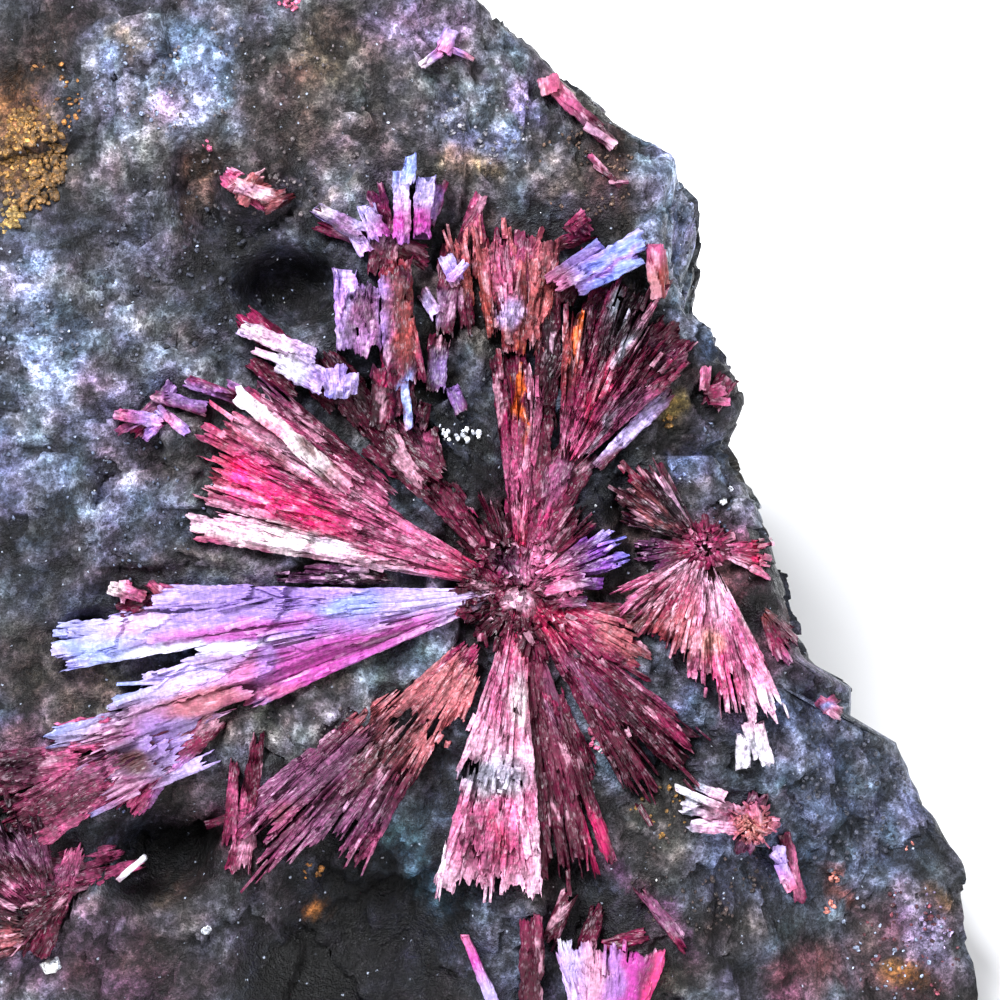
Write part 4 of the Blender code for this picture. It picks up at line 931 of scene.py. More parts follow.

# Left: a long pearly fan, pale lilac and light blue above, magenta below, with a reddish lower edge.
# The light blue and much of the pale lilac of this fan are a painted reflection of a blue sky.
fan_piece("left_fan", MAIN, [
    (180.3, 203.6, 0.9, 15.5, 9, 0.4, 0.9, 0.8, 1.0),
    (180.3, 185.0, 0.9, 18.4, 3, 0.7, 1.4, 0.8, 1.0), (184.8, 189.4, 0.9, 24.4, 3, 0.8, 1.6, 0.9, 1.6),
    (181.0, 188.0, 0.9, 15.0, 3, 1.0, 1.6, 0.5, 4.0),
    (189.2, 193.2, 0.9, 17.6, 3, 0.8, 1.8, 0.9, 1.2), (193.0, 197.8, 0.9, 22.4, 3, 0.7, 1.5, 0.9, 2.4),
    (189.6, 197.0, 5.0, 14.5, 3, 1.0, 1.9, 0.5, 4.0), (193.5, 198.5, 12.0, 19.8, 3, 1.6, 1.7, 0.5, 2.4),
    (197.6, 203.6, 4.0, 15.6, 3, 0.4, 1.3, 0.8, 1.6), (197.4, 203.0, 14.5, 26.0, 3, 1.1, 0.9, 0.9, 2.8),
    (198.0, 208.0, 17.5, 24.5, 4, 1.3, 1.2, 0.5, 4.0), (202.6, 209.0, 16.5, 24.4, 4, 1.0, 0.6, 0.9, 2.8)],
    ramp=[(2.5, "blush"), (4.0, "pale_lilac"), (8.0, "lilac"), (14.0, "lilac"), (20.0, "pale_lilac"),
          (25, "sky")],
    stains=[
        (-3.3, -5.1, 2.8, 0.7, 3, "pale_lilac", 0.8), (-7.6, -5.3, 1.8, 0.5, 6, "sky", 0.85),
        (-15.3, -5.6, 2.0, 0.8, 0, "lilac", 0.8), (-13.5, -6.5, 4.8, 0.42, 8, "magenta", 0.75),
        (-15.5, -7.5, 5.0, 0.34, 7, "white", 0.8), (-20.2, -7.6, 2.6, 0.9, 10, "sky", 0.75),
        (-22.0, -8.0, 1.0, 0.6, 0, "pale_lilac", 0.8), (-18.2, -6.2, 1.4, 0.4, 10, "rose", 0.5),
        (-8.2, -7.6, 6.0, 1.2, 12, "magenta", 0.88), (-9.5, -8.8, 2.2, 0.9, 15, "magenta", 0.9),
        (-4.8, -6.4, 2.2, 0.5, 14, "magenta", 0.6), (-6.5, -7.1, 1.1, 0.35, 10, "mauve", 0.8),
        (-15.2, -8.6, 1.9, 1.0, 20, "pale_lilac", 0.85), (-12.8, -8.5, 1.4, 0.8, 40, "pink", 0.6),
        (-11.6, -8.0, 0.5, 1.1, -20, "lilac", 0.7), (-14.0, -7.9, 1.0, 0.4, 0, "mauve", 0.5),
        (-15.2, -10.2, 3.8, 0.75, 10, "salmon", 0.92), (-12.9, -10.2, 0.9, 0.45, 10, "crimson", 0.8),
        (-11.0, -9.6, 1.4, 0.3, 18, "rose", 0.8), (-19.5, -9.6, 1.7, 0.7, 5, "sky", 0.92),
        (-19.8, -13.0, 4.8, 2.4, 20, "wine", 0.75), (-20.5, -12.4, 3.5, 0.7, 22, "rose", 0.55),
        (-17.0, -11.8, 1.3, 1.5, 30, "lilac", 0.7), (-18.6, -14.6, 1.6, 0.8, 25, "rose", 0.75),
        (-18.3, -13.2, 1.3, 0.5, 10, "umber", 0.95), (-22.4, -13.4, 1.2, 0.8, 0, "ruby", 0.5)],
    slot="lilac_blades", material=SATIN, extra=[
        (-7.0, -5.0, -22.4, -7.2, 1.2, 1.9, 1.2, 1.7, 0.8, 1.2),
        (-10.0, -5.2, -20.4, -6.2, 1.3, 1.5, 1.3, 1.8, 0.6, 2.0),
        (-12.0, -4.7, -17.8, -4.9, 1.1, 1.5, 1.3, 1.8, 0.6, 1.4),
        (-16.4, -6.3, -22.6, -7.7, 1.0, 1.0, 1.6, 1.8, 0.6, 0.7),
        (-6.0, -6.2, -17.6, -9.4, 1.3, 2.2, 1.2, 1.6, 0.6, 1.8),
        (-9.0, -7.0, -19.6, -10.4, 1.0, 1.3, 1.4, 1.7, 0.6, 1.4),
        (-12.2, -9.4, -19.4, -11.6, 0.9, 1.4, 1.4, 1.4, 0.6, 1.2)],
    step=0.028, spread=0.10, gleam=0.04, loose=40)

# Lower left: a dull salmon flat near the middle, then dark pink striated blades with curled ends.
fan_piece("lower_left_fan", MAIN, [
    (222.0, 246.0, 3.6, 9.6, 7, 0.5, 1.0, 0.8, 1.8), (217.0, 229.0, 7.0, 20.6, 6, 0.5, 1.5, 0.9, 3.4),
    (230.0, 240.6, 8.4, 17.6, 5, 0.8, 1.5, 0.8, 2.8), (219.0, 230.0, 9.0, 18.0, 5, 0.9, 1.8, 0.5, 5.0),
    (232.0, 242.0, 7.5, 14.0, 4, 0.9, 1.5, 0.5, 4.0), (228.5, 231.0, 9.0, 14.5, 1, 0.5, 0.8, 0.8, 1.0)],
    ramp=[(3.0, "rose"), (5.0, "salmon"), (9.0, "salmon"), (11.0, "wine"), (15.0, "mauve"), (21.0, "crimson")],
    stains=[
        (-3.1, -10.6, 2.3, 2.0, 40, "salmon", 0.8), (-5.6, -12.6, 2.6, 0.5, 45, "umber", 0.7),
        (-7.2, -13.4, 4.8, 0.9, 42, "maroon", 0.65), (-9.0, -13.8, 4.0, 0.45, 42, "mauve", 0.8),
        (-6.9, -17.4, 2.4, 0.9, 38, "rose", 0.9), (-6.4, -16.2, 2.4, 0.5, 40, "plum", 0.6),
        (-10.9, -15.9, 1.4, 0.8, 30, "rose", 0.7), (-10.8, -15.6, 0.7, 0.35, 30, "umber", 0.7),
        (-12.8, -18.0, 1.1, 1.5, 20, "rose", 0.6), (-4.6, -14.6, 1.6, 0.7, 40, "wine", 0.7)],
    step=0.045, spread=0.14, gleam=0.05, loose=50)

# Bottom: pale pink fibres, a broken grey-white band across them, and a pink block with white edges.
fan_piece("bottom_fan", MAIN, [
    (249.0, 274.0, 0.9, 10.4, 9, 0.6, 1.2, 0.8, 1.4), (254.5, 273.5, 8.4, 15.9, 6, 0.8, 1.9, 1.0, 1.2),
    (252.0, 273.0, 0.9, 9.6, 7, 0.9, 1.5, 0.5, 4.5), (256.0, 272.5, 9.8, 15.0, 5, 1.2, 2.1, 0.5, 3.0),
    (258.0, 271.0, 7.6, 10.2, 6, 1.5, 1.7, 0.5, 1.2)],
    ramp=[(2.5, "ruby"), (4.0, "rose"), (6.0, "pink"), (8.5, "blush"), (10.0, "rose"), (13.0, "pink"),
          (15, "blush")],
    stains=[
        (0.2, -8.2, 0.5, 2.8, 0, "rose", 0.7), (-1.2, -9.4, 0.5, 2.4, -12, "blush", 0.85),
        (1.6, -8.8, 0.4, 2.6, 5, "salmon", 0.6), (-2.4, -9.6, 0.8, 2.2, -18, "peach", 0.7),
        (0.9, -10.2, 0.5, 1.4, 0, "cream", 0.8), (-0.4, -13.6, 1.9, 0.9, 0, "steel", 0.85),
        (0.0, -14.4, 1.2, 0.4, 0, "white", 0.7), (-1.2, -13.0, 0.5, 0.9, 0, "coal", 0.5),
        (-0.6, -17.2, 1.9, 1.8, 0, "rose", 0.85), (-1.4, -16.6, 0.4, 1.2, 5, "wine", 0.7),
        (0.6, -17.8, 0.5, 1.2, 0, "crimson", 0.6), (-0.2, -16.6, 0.4, 1.4, 10, "ruby", 0.6),
        (-2.9, -17.0, 0.35, 1.9, -6, "white", 0.75), (2.0, -17.2, 0.4, 2.2, 0, "blush", 0.85),
        (-0.6, -19.7, 1.8, 0.4, 10, "blush", 0.8), (1.2, -15.6, 0.9, 0.5, 0, "pink", 0.7)],
    slot="pink_blades", step=0.07, spread=0.20, gleam=0.14, loose=50)

# Beside it: long smooth dark blades, glassy, with a pinkish right edge.
fan_piece("dark_bottom_blades", MAIN, [
    (276.0, 289.8, 0.9, 15.4, 6, 0.4, 1.3, 0.9, 2.0), (278.0, 288.0, 5.0, 14.0, 4, 0.7, 1.6, 0.5, 5.0)],
    ramp=[(3.0, "crimson"), (6.0, "wine"), (10.0, "maroon"), (15.5, "wine")],
    stains=[
        (5.7, -16.0, 0.5, 2.6, 8, "rose", 0.75), (4.7, -17.0, 0.4, 1.8, 8, "raspberry", 0.6),
        (3.2, -14.0, 0.6, 2.2, 8, "crimson", 0.5), (5.0, -12.0, 0.5, 1.6, 15, "mauve", 0.5),
        (2.6, -10.0, 0.4, 1.6, 8, "mauve", 0.5)],
    material=SATIN, step=0.04, spread=0.16, gleam=0.04, loose=24)

# Lower right: dark crimson blades, dull salmon flats beside them near the middle.
fan_piece("lower_right_fan", MAIN, [
    (298.0, 321.0, 0.9, 13.2, 8, 0.5, 1.0, 0.8, 3.4), (302.0, 320.0, 4.0, 13.4, 5, 0.8, 1.3, 0.5, 4.5),
    (320.0, 342.0, 0.9, 6.2, 6, 0.5, 0.9, 0.7, 1.0), (326.0, 338.0, 0.9, 7.6, 4, 0.7, 0.9, 0.5, 1.4)],
    ramp=[(2.5, "ruby"), (4.0, "crimson"), (7.0, "wine"), (10.0, "maroon"), (13.5, "wine")],
    stains=[
        (6.3, -7.0, 2.0, 0.9, -32, "salmon", 0.85), (4.4, -9.0, 1.8, 0.5, -50, "mauve", 0.6),
        (7.4, -9.4, 2.6, 0.4, -40, "rose", 0.5), (9.2, -11.6, 2.0, 0.6, -42, "crimson", 0.6),
        (8.6, -10.2, 2.4, 0.3, -40, "plum", 0.7), (6.0, -10.6, 2.0, 0.4, -45, "ink", 0.6)],
    step=0.06, gleam=0.07, loose=50)

# Right of the middle: short spurs, blue-purple above and pink with pale tips below.
fan_piece("right_spurs", MAIN, [
    (12.0, 38.0, 0.9, 6.2, 7, 0.8, 1.3, 0.6, 1.4), (16.0, 36.0, 0.9, 5.8, 5, 1.1, 1.5, 0.4, 1.6)],
    ramp=[(2.0, "rose"), (3.2, "plum"), (4.6, "violet"), (6.0, "periwinkle")],
    stains=[(4.0, -2.6, 1.2, 0.4, 35, "mauve", 0.6), (5.4, -1.6, 0.8, 0.3, 30, "pale_lilac", 0.6)],
    slot="lilac_blades", extra=[
        (2.0, -4.6, 4.8, -3.8, 0.6, 0.9, 1.0, 1.5, 0.6, 0.6),
        (2.2, -5.2, 4.6, -5.0, 0.5, 0.7, 0.9, 1.2, 0.5, 0.5),
        (2.4, -4.2, 5.4, -4.2, 0.5, 0.7, 1.1, 1.4, 0.4, 0.5)], step=0.06, loose=14)

# Top: a tall narrow fan of crimson, salmon and rust fibres with glassy orange glints, painted in as thin amber
# spots.
fan_piece("top_fan", MAIN, [
    (84.0, 98.0, 0.9, 12.4, 7, 0.6, 1.2, 0.8, 3.0), (86.0, 97.0, 3.6, 11.5, 5, 0.9, 1.5, 0.5, 4.5),
    (84.6, 92.0, 10.8, 18.3, 4, 0.8, 1.7, 0.8, 2.0), (91.6, 97.0, 10.8, 19.8, 3, 0.8, 1.5, 0.7, 2.2),
    (86.5, 93.0, 11.0, 17.0, 3, 1.1, 1.9, 0.5, 3.5), (99.0, 103.0, 13.0, 20.0, 2, 0.4, 1.0, 0.7, 2.6)],
    ramp=[(2.5, "ruby"), (5.0, "rose"), (8.0, "crimson"), (11.0, "wine"), (14.0, "rust"), (19.5, "salmon")],
    stains=[
        (0.3, -0.5, 0.9, 3.0, 0, "rose", 0.45), (-0.6, 4.0, 0.5, 3.0, 5, "wine", 0.6),
        (1.0, 5.2, 0.16, 2.2, 2, "amber", 0.9), (1.9, 8.6, 0.5, 2.0, 0, "salmon", 0.6),
        (0.2, 11.4, 0.7, 1.9, 5, "rose", 0.85), (1.6, 12.2, 0.6, 1.5, 0, "salmon", 0.85),
        (0.6, 9.4, 0.6, 0.8, 0, "pale_lilac", 0.75), (-0.9, 9.6, 0.5, 2.0, 8, "rust", 0.7),
        (-2.2, 13.8, 0.6, 1.8, 15, "salmon", 0.7), (1.8, 4.4, 0.4, 2.5, 0, "pink", 0.45)],
    step=0.08, spread=0.26, gleam=0.12, loose=45)

# Upper right: fibres from a second middle, RIGHT, crimson and rust, with a dark glassy sheaf among them.
RIGHT = (3.0, 1.0)
fan_piece("upper_right_fan", RIGHT, [
    (42.0, 89.0, 0.8, 8.6, 14, 0.5, 1.2, 0.7, 1.6),
    (42.0, 60.0, 1.2, 9.8, 6, 0.6, 1.3, 0.8, 2.6), (60.0, 78.0, 1.2, 11.9, 7, 0.8, 1.9, 0.9, 2.8),
    (78.0, 89.0, 1.2, 9.6, 4, 0.6, 1.4, 0.7, 2.2), (48.0, 86.0, 0.9, 10.2, 10, 1.1, 1.9, 0.5, 5.5)],
    ramp=[(0.5, "ruby"), (2.0, "rose"), (4.0, "crimson"), (7.0, "wine"), (10.0, "crimson"), (12.0, "maroon")],
    stains=[
        # The thin amber spot at 3.9, 8.4 is a painted orange glint.
        (3.9, 8.4, 0.22, 1.6, -8, "amber", 0.95), (3.3, 7.0, 0.7, 2.4, -5, "rust", 0.6),
        (6.3, 8.9, 1.3, 2.4, -22, "coal", 0.88), (6.6, 10.0, 0.24, 1.3, -25, "steel", 0.9),
        (5.6, 9.9, 0.35, 0.9, -15, "steel", 0.8), (6.0, 7.0, 0.2, 1.3, -28, "steel", 0.85),
        (5.0, 5.2, 0.3, 2.2, -25, "ruby", 0.7), (4.4, 9.0, 0.3, 1.6, -10, "coal", 0.7),
        (6.6, 4.4, 1.0, 1.4, -42, "mauve", 0.6), (5.0, 3.2, 0.2, 1.6, -35, "steel", 0.6)],
    step=0.08, spread=0.30, gleam=0.10, loose=60)

# The pearly lilac-blue tablet grown across that fan's end, its blue a painted reflection of a blue sky, and the
# rusty cap at its corner.
group_piece("upper_right_tablet", [
    (2.6, 10.6, 7.4, 13.1, 0.9, 1.4, 2.3, 2.9, 0.6, 0.5), (3.6, 10.4, 7.2, 12.1, 0.9, 0.9, 2.2, 2.6, 0.6, 0.5),
    (2.2, 10.9, 5.2, 12.9, 0.5, 0.8, 2.4, 2.9, 0.5, 0.4)],
    ramp=[(0, "pink"), (1.2, "mauve"), (2.5, "periwinkle"), (5.0, "sky"),
          (6.0, "periwinkle")], middle=(2.3, 10.6),
    stains=[(4.2, 12.2, 1.4, 0.35, 30, "lilac", 0.9), (6.6, 13.4, 1.0, 0.4, 20, "pale_lilac", 0.85),
            (5.6, 11.6, 1.6, 0.2, 28, "magenta", 0.5)],
    slot="lilac_blades", material=SATIN, step=0.05, spread=0.12, gleam=0.10, stands_for=False)
group_piece("upper_right_cap", [
    (7.9, 9.9, 7.6, 13.0, 0.9, 1.1, 2.2, 2.9, 0.8, 0.5), (8.3, 10.6, 8.1, 12.6, 0.5, 0.5, 1.8, 2.5, 0.8, 0.3)],
    ramp=[(0, "wine"), (1.5, "rust"), (3.0, "rose"), (3.6, "pink")], middle=(7.9, 9.6),
    stains=[(8.4, 11.4, 0.3, 0.8, 0, "rust", 0.8)],
    material=SATIN, step=0.06, gleam=0.12, stands_for=False)

# The middle of the spray: low laths that fill between the fans' roots, and short fine needles that
# cross over them in all directions.
def needle_laths(rng, middle, reach, count, length, width, lifts):
    """Thin laths of one fibre, thrown out in all directions from near a middle."""
    swing = rng.uniform(0, 2 * math.pi, count)
    start = reach * rng.uniform(0, 1, count)
    base_swing = swing + rng.normal(0, 0.5, count)
    root = np.array(middle) + np.stack([np.cos(base_swing), np.sin(base_swing)], axis=1) * start[:, None]
    heading = swing + rng.normal(0, 0.45, count)
    run = np.stack([np.cos(heading), np.sin(heading)], axis=1) * (length * rng.uniform(0.4, 1.2, (count, 1)))
    widths = width * rng.uniform(0.6, 1.6, (count, 1)) * np.array([1.0, 0.6])
    rise = np.sort(rng.uniform(*lifts, (count, 2)), axis=1)[:, ::-1]
    return [root, root + run, widths, rise, np.full(count, 0.25), np.full(count, 0.25),
            rng.normal(0, 0.3, count)]


def needle_bed(name, needles, ramp, middle, rows=(), **looks):
    """Needles over a low bed of laths, as one piece."""
    rng = np.random.default_rng(sum(name.encode()) + 1)
    laths = needle_laths(rng, middle, *needles)
    if rows:
        laths = together(fan_laths(rng, middle, rows), laths)
    return blade_piece(name, laths, ramp, middle, material=NEEDLE, **looks)


needle_bed("spray_hub", (2.9, 260, 0.9, 0.40, (0.65, 1.15)),
           ramp=[(0, "maroon"), (1.0, "wine"), (2.0, "maroon"), (3.5, "wine"), (6.0, "maroon"),
                 (8.0, "maroon")],
           middle=MAIN, rows=[
               (0.0, 360.0, 0.2, 3.6, 26, 0.75, 0.9, 0.5, 1.6), (98.0, 142.0, 1.0, 6.4, 12, 0.4, 0.7, 0.5, 3.4),
               (40.0, 84.0, 1.0, 7.2, 13, 0.4, 0.8, 0.5, 3.4), (318.0, 345.0, 1.0, 4.6, 6, 0.4, 0.5, 0.5, 1.6),
               (286.0, 302.0, 1.0, 6.5, 5, 0.4, 0.5, 0.5, 3.0),
               (205.0, 222.0, 1.0, 3.8, 5, 0.4, 0.5, 0.5, 1.6)],
           stains=[(1.0, -3.2, 1.2, 0.8, 0, "plum", 0.7), (0.2, -1.4, 1.2, 1.6, 30, "maroon", 0.6),
                   (2.6, -6.2, 1.2, 0.6, -40, "ruby", 0.6), (2.2, -1.0, 0.9, 2.0, -20, "rose", 0.7),
                   (1.9, -2.9, 0.8, 1.2, -30, "pink", 0.7), (3.4, -4.4, 1.2, 0.5, 0, "pink", 0.7),
                   (0.9, -5.1, 0.7, 0.5, 0, "blush", 0.6), (-1.2, -3.2, 1.5, 0.5, -25, "crimson", 0.7)],
           step=0.05, spread=0.42, gleam=0.08)

# Low crimson and maroon laths that fill between the fans, which have grown together at their sides.
group_piece("filling", [
    (-1.0, -2.2, -7.4, 5.4, 1.2, 2.4, 0.5, 0.8, 0.6, 2.2),
    (-1.2, -1.4, -5.4, 4.6, 1.0, 2.0, 0.6, 1.0, 0.6, 1.6),
    (-3.4, 0.6, -6.6, 4.2, 1.4, 1.6, 0.9, 1.3, 0.5, 1.2), (-3.0, 1.2, -3.6, 4.0, 0.8, 1.0, 0.5, 0.7, 0.5, 0.8),
    (1.2, -2.6, 1.6, 4.8, 2.6, 2.2, 0.6, 0.8, 0.6, 1.4), (1.6, -2.4, 3.2, 3.2, 1.6, 2.0, 0.7, 0.9, 0.6, 1.2),
    (2.4, -2.0, 4.6, 2.6, 1.0, 1.2, 0.5, 0.8, 0.5, 1.0), (0.8, 3.0, 0.4, 8.2, 1.6, 2.2, 0.6, 0.9, 0.6, 1.4),
    (2.2, 3.2, 2.4, 8.6, 1.4, 1.4, 0.6, 0.9, 0.6, 1.4), (2.6, 6.6, 2.4, 11.4, 1.0, 1.4, 0.6, 0.9, 0.6, 1.0),
    (-1.6, 8.0, -2.0, 13.2, 0.8, 1.2, 0.4, 0.7, 0.5, 1.2),
    (-0.9, 11.0, -1.2, 14.6, 1.0, 0.7, 0.7, 1.2, 0.5, 1.0),
    (3.2, 9.6, 4.4, 12.6, 1.0, 0.8, 0.6, 1.0, 0.5, 1.0), (3.4, -5.4, 8.6, -6.2, 1.2, 1.6, 0.5, 0.6, 0.5, 1.2),
    (3.2, -6.2, 8.0, -8.4, 1.2, 2.0, 0.5, 0.7, 0.5, 1.6), (8.8, -3.4, 6.6, -7.2, 0.8, 2.0, 0.5, 0.6, 0.5, 1.2),
    (3.6, -8.0, 9.8, -14.0, 1.2, 1.2, 0.6, 0.9, 0.5, 2.2),
    (2.2, -8.6, 4.6, -14.4, 1.2, 1.6, 0.6, 0.9, 0.5, 1.8),
    (-1.2, -7.0, -5.0, -11.2, 1.2, 2.0, 0.5, 0.8, 0.5, 1.4),
    (-12.0, -11.4, -13.2, -19.4, 0.7, 1.7, 0.5, 0.9, 0.6, 1.4),
    (-13.2, -12.6, -13.6, -17.6, 0.5, 0.9, 0.8, 1.1, 0.4, 1.2),
    (-12.5, -15.5, -15.0, -16.4, 0.5, 0.5, 0.8, 1.0, 0.4, 0.5),
    (-14.2, -10.2, -22.6, -12.2, 1.4, 2.2, 0.6, 0.8, 0.6, 1.8),
    (-15.2, -11.2, -24.0, -15.4, 1.6, 2.6, 0.6, 0.8, 0.6, 2.2),
    (-18.0, -13.4, -24.6, -17.4, 1.4, 2.2, 0.6, 0.9, 0.6, 1.6),
    (-14.6, -10.8, -19.2, -16.4, 1.0, 1.8, 0.7, 0.9, 0.5, 1.6),
    (-20.6, -18.6, -24.6, -19.4, 1.2, 2.0, 0.7, 0.9, 0.5, 1.2),
    (-21.0, -17.0, -23.4, -23.6, 1.0, 1.8, 0.7, 0.9, 0.5, 1.2),
    (-14.2, 4.4, -17.8, 5.4, 0.9, 0.7, 0.6, 0.9, 0.5, 0.8),
    (-12.6, 4.8, -16.2, 6.2, 0.7, 0.8, 0.6, 0.8, 0.5, 0.9),
    (-5.0, 4.0, -5.3, 12.3, 2.0, 1.8, 0.8, 1.5, 0.6, 1.0), (-6.0, 3.4, -9.2, 7.6, 2.2, 1.8, 0.8, 1.1, 0.6, 1.2),
    (-3.0, 0.6, -6.6, 3.4, 2.2, 2.2, 0.8, 1.0, 0.6, 1.2), (-7.4, 4.6, -13.2, 9.5, 2.0, 1.4, 0.7, 1.0, 0.6, 1.4),
    (-3.2, 12.0, -9.6, 14.1, 1.5, 1.2, 0.8, 1.0, 0.6, 1.2),
    (-6.0, 11.0, -5.6, 14.6, 1.6, 1.8, 0.9, 1.2, 0.6, 1.0),
    (-2.8, 8.0, -2.5, 13.0, 1.0, 1.5, 0.7, 1.0, 0.5, 1.0), (-3.3, 5.2, -3.0, 8.6, 1.2, 1.3, 0.7, 0.9, 0.5, 0.8),
    (0.3, 8.8, 0.6, 13.8, 2.5, 3.4, 0.8, 1.2, 0.6, 1.4), (2.0, 8.4, 2.2, 13.4, 1.6, 2.2, 0.8, 1.2, 0.6, 1.4),
    (3.0, 5.6, 6.4, 11.2, 1.6, 3.2, 0.6, 1.0, 0.6, 1.4), (4.6, 4.0, 9.4, 9.2, 1.4, 2.6, 0.6, 0.9, 0.6, 1.4),
    (4.6, 1.4, 8.7, 5.7, 0.7, 1.1, 0.8, 1.0, 0.5, 0.6), (6.8, 5.6, 9.8, 7.5, 0.8, 1.3, 0.9, 1.2, 0.5, 0.9),
    (-16.0, -12.0, -25.6, -16.6, 1.8, 2.8, 0.6, 0.9, 0.6, 1.6),
    (-20.6, -12.8, -25.9, -13.8, 1.6, 2.6, 0.8, 1.1, 0.6, 1.2),
    (-18.8, -17.6, -25.6, -18.8, 1.0, 2.8, 0.8, 1.1, 0.6, 1.4),
    (-17.8, -18.2, -22.8, -19.6, 0.6, 1.4, 0.8, 1.0, 0.5, 1.0),
    (-21.6, -19.4, -25.2, -22.2, 1.2, 2.2, 0.8, 1.0, 0.6, 1.2),
    (-13.6, -10.6, -18.6, -14.6, 1.2, 2.0, 0.9, 1.1, 0.5, 1.6),
    (-3.6, 13.6, -3.0, 16.2, 0.7, 1.3, 0.8, 1.2, 0.6, 0.8),
    (-5.6, 13.8, -6.4, 15.8, 0.8, 1.2, 0.7, 1.0, 0.6, 0.8),
    (-2.2, 12.2, -0.8, 15.6, 0.6, 1.0, 0.6, 1.1, 0.5, 0.8),
    (-3.0, 9.0, -4.0, 10.6, 0.8, 0.8, 0.9, 1.2, 0.5, 0.5),
    (-1.8, 4.2, -2.6, 6.0, 0.9, 0.8, 0.6, 0.8, 0.5, 0.6), (-4.0, 3.4, -3.6, 5.4, 0.9, 0.7, 0.8, 1.3, 0.5, 0.7),
    (2.6, 12.6, 4.8, 13.6, 0.8, 1.0, 0.7, 1.0, 0.5, 0.6), (-12.6, 7.0, -9.8, 5.2, 0.9, 1.2, 0.9, 1.1, 0.5, 0.8),
    (-14.0, 16.4, -11.2, 14.6, 1.2, 1.4, 0.5, 0.7, 0.6, 0.9),
    (-16.2, 5.9, -18.6, 3.0, 0.8, 1.0, 0.5, 0.7, 0.5, 0.8),
    (-19.2, -5.6, -15.4, -4.4, 1.0, 0.8, 0.8, 1.0, 0.5, 0.8),
    (10.4, 4.4, 11.6, 6.4, 1.2, 1.4, 0.5, 0.7, 0.5, 0.6),
    (13.0, -14.4, 12.0, -18.2, 1.2, 1.0, 0.6, 0.8, 0.5, 0.8),
    (14.2, -16.6, 15.2, -20.4, 0.8, 0.7, 0.5, 0.6, 0.4, 0.5),
    (5.0, -20.0, 4.0, -23.4, 0.9, 1.2, 0.5, 0.8, 0.5, 1.0),
    (6.6, -19.0, 9.6, -22.6, 0.6, 0.9, 0.4, 0.6, 0.5, 1.2),
    (3.6, -19.4, 2.2, -22.6, 1.0, 0.9, 0.7, 0.9, 0.5, 1.0),
    (7.4, -21.6, 4.9, -22.4, 0.8, 0.9, 0.5, 0.6, 0.5, 0.6)],
    ramp=[(0, "wine"), (4.0, "crimson"), (7.0, "wine"), (12.0, "maroon"), (17.0, "wine"), (21.0, "crimson"),
          (25.0, "rose"), (28.0, "wine")], middle=MAIN,
    stains=[(-4.4, 2.6, 2.2, 1.6, -50, "maroon", 0.9), (-4.0, 3.2, 0.5, 1.2, 30, "rose", 0.6),
            (-5.0, 9.6, 0.8, 2.6, 0, "rust", 0.8), (-3.4, 15.0, 0.7, 1.0, 0, "lilac", 0.8),
            (-6.2, 14.8, 0.8, 0.8, 0, "plum", 0.6),
            (-1.4, 14.4, 0.6, 1.2, 0, "rose", 0.6), (-3.5, 9.8, 0.6, 0.7, 0, "pale_lilac", 0.7),
            (-2.3, 5.2, 0.7, 0.8, 0, "lilac", 0.6), (3.8, 13.2, 0.9, 0.5, 0, "crimson", 0.7),
            (-12.6, 15.4, 1.2, 0.8, 0, "rust", 0.7), (-17.4, 4.4, 0.8, 1.0, 0, "mauve", 0.8),
            (-17.8, -5.0, 1.6, 0.5, 0, "maroon", 0.7), (11.0, 5.4, 0.9, 0.9, 0, "crimson", 0.7),
            (12.6, -16.4, 1.0, 1.6, 0, "mauve", 0.8), (14.8, -18.6, 0.6, 1.6, 0, "pink", 0.7),
            (-5.6, 5.4, 0.9, 1.6, 0, "raspberry", 0.35),
            (-6.6, 13.2, 1.6, 0.8, 0, "mauve", 0.8), (-2.7, 9.8, 0.7, 0.8, 0, "mauve", 0.8),
            (-3.0, 6.6, 0.6, 0.9, 0, "lilac", 0.7), (0.6, 12.4, 1.2, 1.4, 0, "rose", 0.7),
            (2.4, 11.6, 0.7, 1.8, 0, "salmon", 0.7), (-0.6, 11.2, 0.6, 1.8, 0, "rust", 0.7),
            (6.0, 9.4, 1.2, 1.8, -25, "coal", 0.85), (7.6, 7.0, 1.0, 1.2, -45, "plum", 0.6),
            (6.6, 3.6, 2.0, 0.5, 46, "pale_lilac", 0.8), (9.0, 7.0, 0.9, 0.5, 30, "rose", 0.6),
            (-24.0, -13.2, 1.8, 1.2, 0, "ink", 0.9), (-23.6, -18.4, 1.8, 1.0, 0, "wine", 0.7),
            (-23.2, -20.8, 1.8, 1.6, 20, "maroon", 0.8), (-20.4, -18.6, 1.6, 0.6, 10, "wine", 0.8),
            (1.2, 1.0, 0.6, 2.6, 0, "rose", 0.7), (3.0, 1.2, 0.5, 2.0, -20, "mauve", 0.6),
            (2.4, 8.0, 0.4, 3.0, 0, "coal", 0.7), (0.6, 6.4, 0.5, 2.0, 0, "crimson", 0.8),
            (6.6, -5.8, 2.0, 0.6, -8, "umber", 0.8), (6.4, -7.4, 1.6, 0.5, -20, "salmon", 0.6),
            (7.0, -5.0, 1.2, 0.5, 0, "mauve", 0.5), (-3.6, -9.6, 1.6, 0.8, 45, "salmon", 0.6),
            (-12.9, -16.5, 0.5, 2.6, 8, "rose", 0.6), (-19.6, -11.6, 3.2, 0.5, 12, "pink", 0.6),
            (-18.6, -13.0, 3.0, 0.6, 22, "mauve", 0.7), (-22.4, -15.4, 3.0, 1.0, 25, "maroon", 0.85),
            (-22.6, -18.8, 1.8, 0.7, 10, "mauve", 0.4), (-16.4, -14.4, 0.8, 1.8, -30, "lilac", 0.6),
            (-15.6, 5.4, 1.8, 0.6, -15, "lilac", 0.7), (8.4, -21.0, 1.8, 0.5, -45, "mauve", 0.9),
            (3.2, -21.0, 0.6, 1.4, 0, "maroon", 0.8), (-1.4, 12.6, 0.4, 1.4, 0, "salmon", 0.7)],
